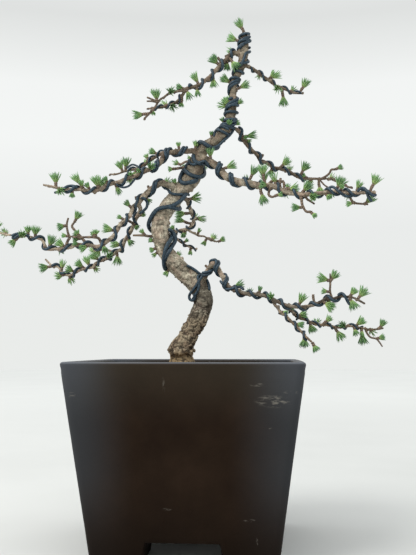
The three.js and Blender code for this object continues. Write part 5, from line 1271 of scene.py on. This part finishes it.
def make_shoots(spines, wires, spur, needles):
    shoots = Shoots(spines, wires)
    for parent, rows in TWIGS:
        shoots.add_twig(parent, rows)
    for name, rows in TUFTS.items():
        for row in rows:
            shoots.add_spur(name, *row)
    show(shoots.spurs.make("spurs", spur), "bark")
    show(shoots.needles.make("needles", needles), "needles")


# ---------------------------------------------------------------- pot


def rounded_square(half, corner, bulge=0.0):
    """Points round a square with rounded corners. Its sides stand out by `bulge` in their middles."""
    straight = np.linspace(-1, 1, POT_SIDE + 1)[:-1]
    quarter = np.linspace(0, math.pi / 2, POT_ARC + 1)[:-1]
    flat = np.column_stack([straight * (half - corner), -half - bulge * (1 - straight**2)])
    arc = np.column_stack([np.sin(quarter), -np.cos(quarter)]) * corner + [half - corner, corner - half]
    side = np.vstack([flat, arc])
    turns = [np.array([[c, s], [-s, c]]) for c, s in ((1, 0), (0, 1), (-1, 0), (0, -1))]
    return np.vstack([side @ turn for turn in turns])


def pot_half(z):
    """Half of the pot's outer width at a height."""
    return POT_WIDTH / 2 - (POT_HEIGHT - z) * POT_TAPER


def foot_lift(points):
    """How high the underside is at each point: the feet are in the corners."""
    edge = FOOT_NOTCH / 2
    feet = smoothstep(np.abs(points[:, :2]), edge - NOTCH_SLOPE, edge + NOTCH_SLOPE).prod(axis=1)
    return FOOT_HEIGHT * (1 - feet)


def pot_ring(inset, z, bulge=POT_BULGE):
    """A level ring that lies within the pot's outside by `inset`."""
    ring = rounded_square(pot_half(z) - inset, max(POT_CORNER - inset * 0.5, 2.0), bulge)
    return np.column_stack([ring, np.full(len(ring), z)])


def tapered(ring, inset, heights):
    """A level ring with each point moved to a height of its own, along the pot's taper."""
    scale = (pot_half(heights) - inset) / (pot_half(ring[0, 2]) - inset)
    return np.column_stack([ring[:, :2] * scale[:, None], heights])


def underside_rings():
    """From the drain hole out to the feet and round their edges."""
    base = pot_half(0)
    rings = []
    for half in np.arange(DRAIN_RADIUS, base - 2, UNDERSIDE_PITCH):
        share = (half - DRAIN_RADIUS) / (base - DRAIN_RADIUS)
        ring = rounded_square(half, DRAIN_RADIUS + (POT_CORNER - DRAIN_RADIUS) * share)
        rings.append(np.column_stack([ring, foot_lift(ring)]))
    for inset, rise in FOOT_EDGE:
        ring = pot_ring(inset, rise)
        rings.append(tapered(ring, inset, foot_lift(ring[:, :2]) + rise))
    return rings


def wall_rings(low):
    """The outer wall, from the points' heights at its foot up to the rim."""
    rings = []
    high = POT_HEIGHT - RIM_ROUND
    for share in np.linspace(0, 1, POT_RINGS + 1)[1:]:
        ring = tapered(pot_ring(0, high), 0, low + (high - low) * share)
        groove = RIM_GROOVE_DEPTH * np.exp(-(((ring[:, 2] - RIM_GROOVE) / RIM_GROOVE_WIDTH) ** 2))
        ring[:, :2] *= (1 - groove / pot_half(ring[:, 2]))[:, None]
        rings.append(ring)
    return rings


def inside_rings(floor):
    """Over the rounded rim, down the inside and over the floor to the drain hole."""
    turns = np.linspace(0, math.pi / 2, RIM_STEPS + 1)
    bends = [(RIM_ROUND * (1 - math.cos(turn)), RIM_ROUND * (1 - math.sin(turn))) for turn in turns]
    rings = [pot_ring(near, POT_HEIGHT - far) for near, far in bends[1:]]
    under_rim = POT_HEIGHT - RIM_HEIGHT
    profile = [(RIM_WALL - far, POT_HEIGHT - near) for near, far in bends]
    profile += [(RIM_WALL, under_rim), (POT_WALL, under_rim - 2)]
    profile += [(POT_WALL, z) for z in np.linspace(under_rim - 8, floor + FLOOR_EDGE, 8)]
    profile += [(POT_WALL + 1.2, floor + 1.2), (POT_WALL + FLOOR_EDGE, floor)]
    rings += [pot_ring(inset, z, 0) for inset, z in profile]
    half = pot_half(floor) - POT_WALL - FLOOR_EDGE
    for share in (0.5, 0.9, 1.0):
        corner = POT_CORNER + (DRAIN_RADIUS - POT_CORNER) * share
        ring = rounded_square(half + (DRAIN_RADIUS - half) * share, corner)
        rings.append(np.column_stack([ring, np.full(len(ring), floor)]))
    return rings


def make_pot(material):
    rings = underside_rings()
    rings += wall_rings(rings[-1][:, 2]) + inside_rings(FOOT_HEIGHT + POT_FLOOR)
    points = np.vstack(rings)
    wobble = sum(field(points, size, seed) * depth for size, seed, depth in POT_WOBBLES)
    away = unit(points * [1, 1, 0] + [1e-9, 0, 0])
    points += away * (wobble * (points[:, 2] > FOOT_HEIGHT + 2))[:, None]
    points += [POT_X, 0, 0]
    shells = Shells()
    shells.add(points, loft_faces(len(rings), len(rings[0]), wraps=True))
    show(shells.make("pot_shell", material), "pot", "pot")


# ---------------------------------------------------------------- soil


def soil_height(x, y):
    reach = math.hypot(x - ROUTES["trunk"][1][0][0], y) / SOIL_MOUND_REACH
    return SOIL_TOP + SOIL_MOUND * math.exp(-reach * reach)


def grain_shape():
    """Points and faces of a ball of 80 triangles."""
    ball = bpy.data.meshes.new("ball")
    made = bmesh.new()
    bmesh.ops.create_icosphere(made, subdivisions=2, radius=1.0)
    made.to_mesh(ball)
    made.free()
    return points_of(ball), [list(face.vertices) for face in ball.polygons]


def make_grains(material):
    """Granules of mixed stone, from a seeded draw, over all of the soil."""
    random = np.random.default_rng(11)
    ball, faces = grain_shape()
    shells = Shells()
    stem = placed(*ROUTES["trunk"][1][3][:3])  # the trunk a little over the soil
    half = pot_half(SOIL_TOP) - RIM_WALL - GRAIN_GAP
    for x in np.arange(-half, half, GRAIN_PITCH) + POT_X:
        for y in np.arange(-half, half, GRAIN_PITCH):
            spot = np.array([x, y]) + random.uniform(0, GRAIN_PITCH, 2)
            size = random.uniform(*GRAIN_SIZES)
            outward = np.abs(spot - [POT_X, 0]).max()
            if math.hypot(*(spot - stem[:2])) < GRAINLESS or outward > half - size / 2:
                continue
            squash = np.diag(random.uniform(*GRAIN_SQUASH, 3)) * size
            spin = np.array(Euler(random.uniform(0, 2 * math.pi, 3)).to_matrix())
            rough = 1 + random.uniform(-GRAIN_ROUGH, GRAIN_ROUGH, (len(ball), 1))
            z = soil_height(*spot) + random.uniform(*GRAIN_RISE)
            shells.add((ball * rough) @ squash @ spin + [*spot, z], faces, tone=random.beta(1.6, 1.8))
    show(shells.make("soil_grains", material, smooth=False), "soil")


# ---------------------------------------------------------------- stage, light and camera


def make_stage():
    bpy.ops.mesh.primitive_circle_add(vertices=96, radius=FLOOR_RADIUS, fill_type="NGON")
    floor = bpy.context.object
    floor.name = "floor"
    s = Shader("floor", Specular_IOR_Level=0.2)
    away = s.node("VectorMath", {"operation": "LENGTH"}, Vector=s.place).outputs["Value"]
    # painted shade: darker near the middle to even out the lamps' brighter light there, paler far out, so the
    # floor looks evenly pale to its edge
    base = s.ramp(s.span(away, 0.3, 2.5), (0.0, "#c8cac8"), (1.0, "#e1e3e1"))
    base = s.mix(s.span(s.noise(300, 3), 0.3, 0.7, 0.0, 0.3), base, "#d8dad8")
    floor.data.materials.append(s.finish(base, 0.9))


def make_lights():
    for name, place, power, tint in LIGHTS:
        data = bpy.data.lights.new(name, "AREA")
        data.shape = "DISK"
        data.size = LIGHT_SIZE
        data.energy = power
        data.color = tint
        light = linked(name, data)
        light.location = place
        light.rotation_euler = (Vector(LIGHT_AIM) - Vector(place)).to_track_quat("-Z", "Y").to_euler()


def make_sky():
    world = bpy.data.worlds.new("studio")
    world.use_nodes = True
    nodes, links = world.node_tree.nodes, world.node_tree.links
    axes = nodes.new("ShaderNodeSeparateXYZ")
    links.new(nodes.new("ShaderNodeTexCoord").outputs["Generated"], axes.inputs[0])
    glow = nodes.new("ShaderNodeValToRGB")
    fill_ramp(glow, SKY)
    links.new(axes.outputs["Z"], glow.inputs[0])
    background = nodes["Background"]
    links.new(glow.outputs["Color"], background.inputs["Color"])
    background.inputs["Strength"].default_value = SKY_STRENGTH
    bpy.context.scene.world = world
    bpy.context.scene.view_settings.view_transform = "Standard"


def make_camera():
    data = bpy.data.cameras.new("camera")
    data.sensor_width = SENSOR
    data.lens = LENS
    camera = linked("camera", data)
    camera.location = CAMERA_PLACE
    camera.rotation_euler = [math.radians(turn) for turn in CAMERA_TURN]
    bpy.context.scene.camera = camera


# ---------------------------------------------------------------- the whole

make_camera()
make_sky()
make_lights()
make_stage()
limbs = make_spines()
make_bark(limbs, bark_material())
metal = wire_material()
wound = [(radius, make_wire(name, radius, runs, limbs, metal)) for name, radius, runs in WIRES]
make_shoots(limbs, wound, spur_material(), needle_material())
make_pot(pot_material())
earth = soil_material()
make_grains(earth)
for node, material in (("soil", earth), ("drainage_mesh", mesh_material())):
    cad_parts[node].data.materials.clear()
    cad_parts[node].data.materials.append(material)
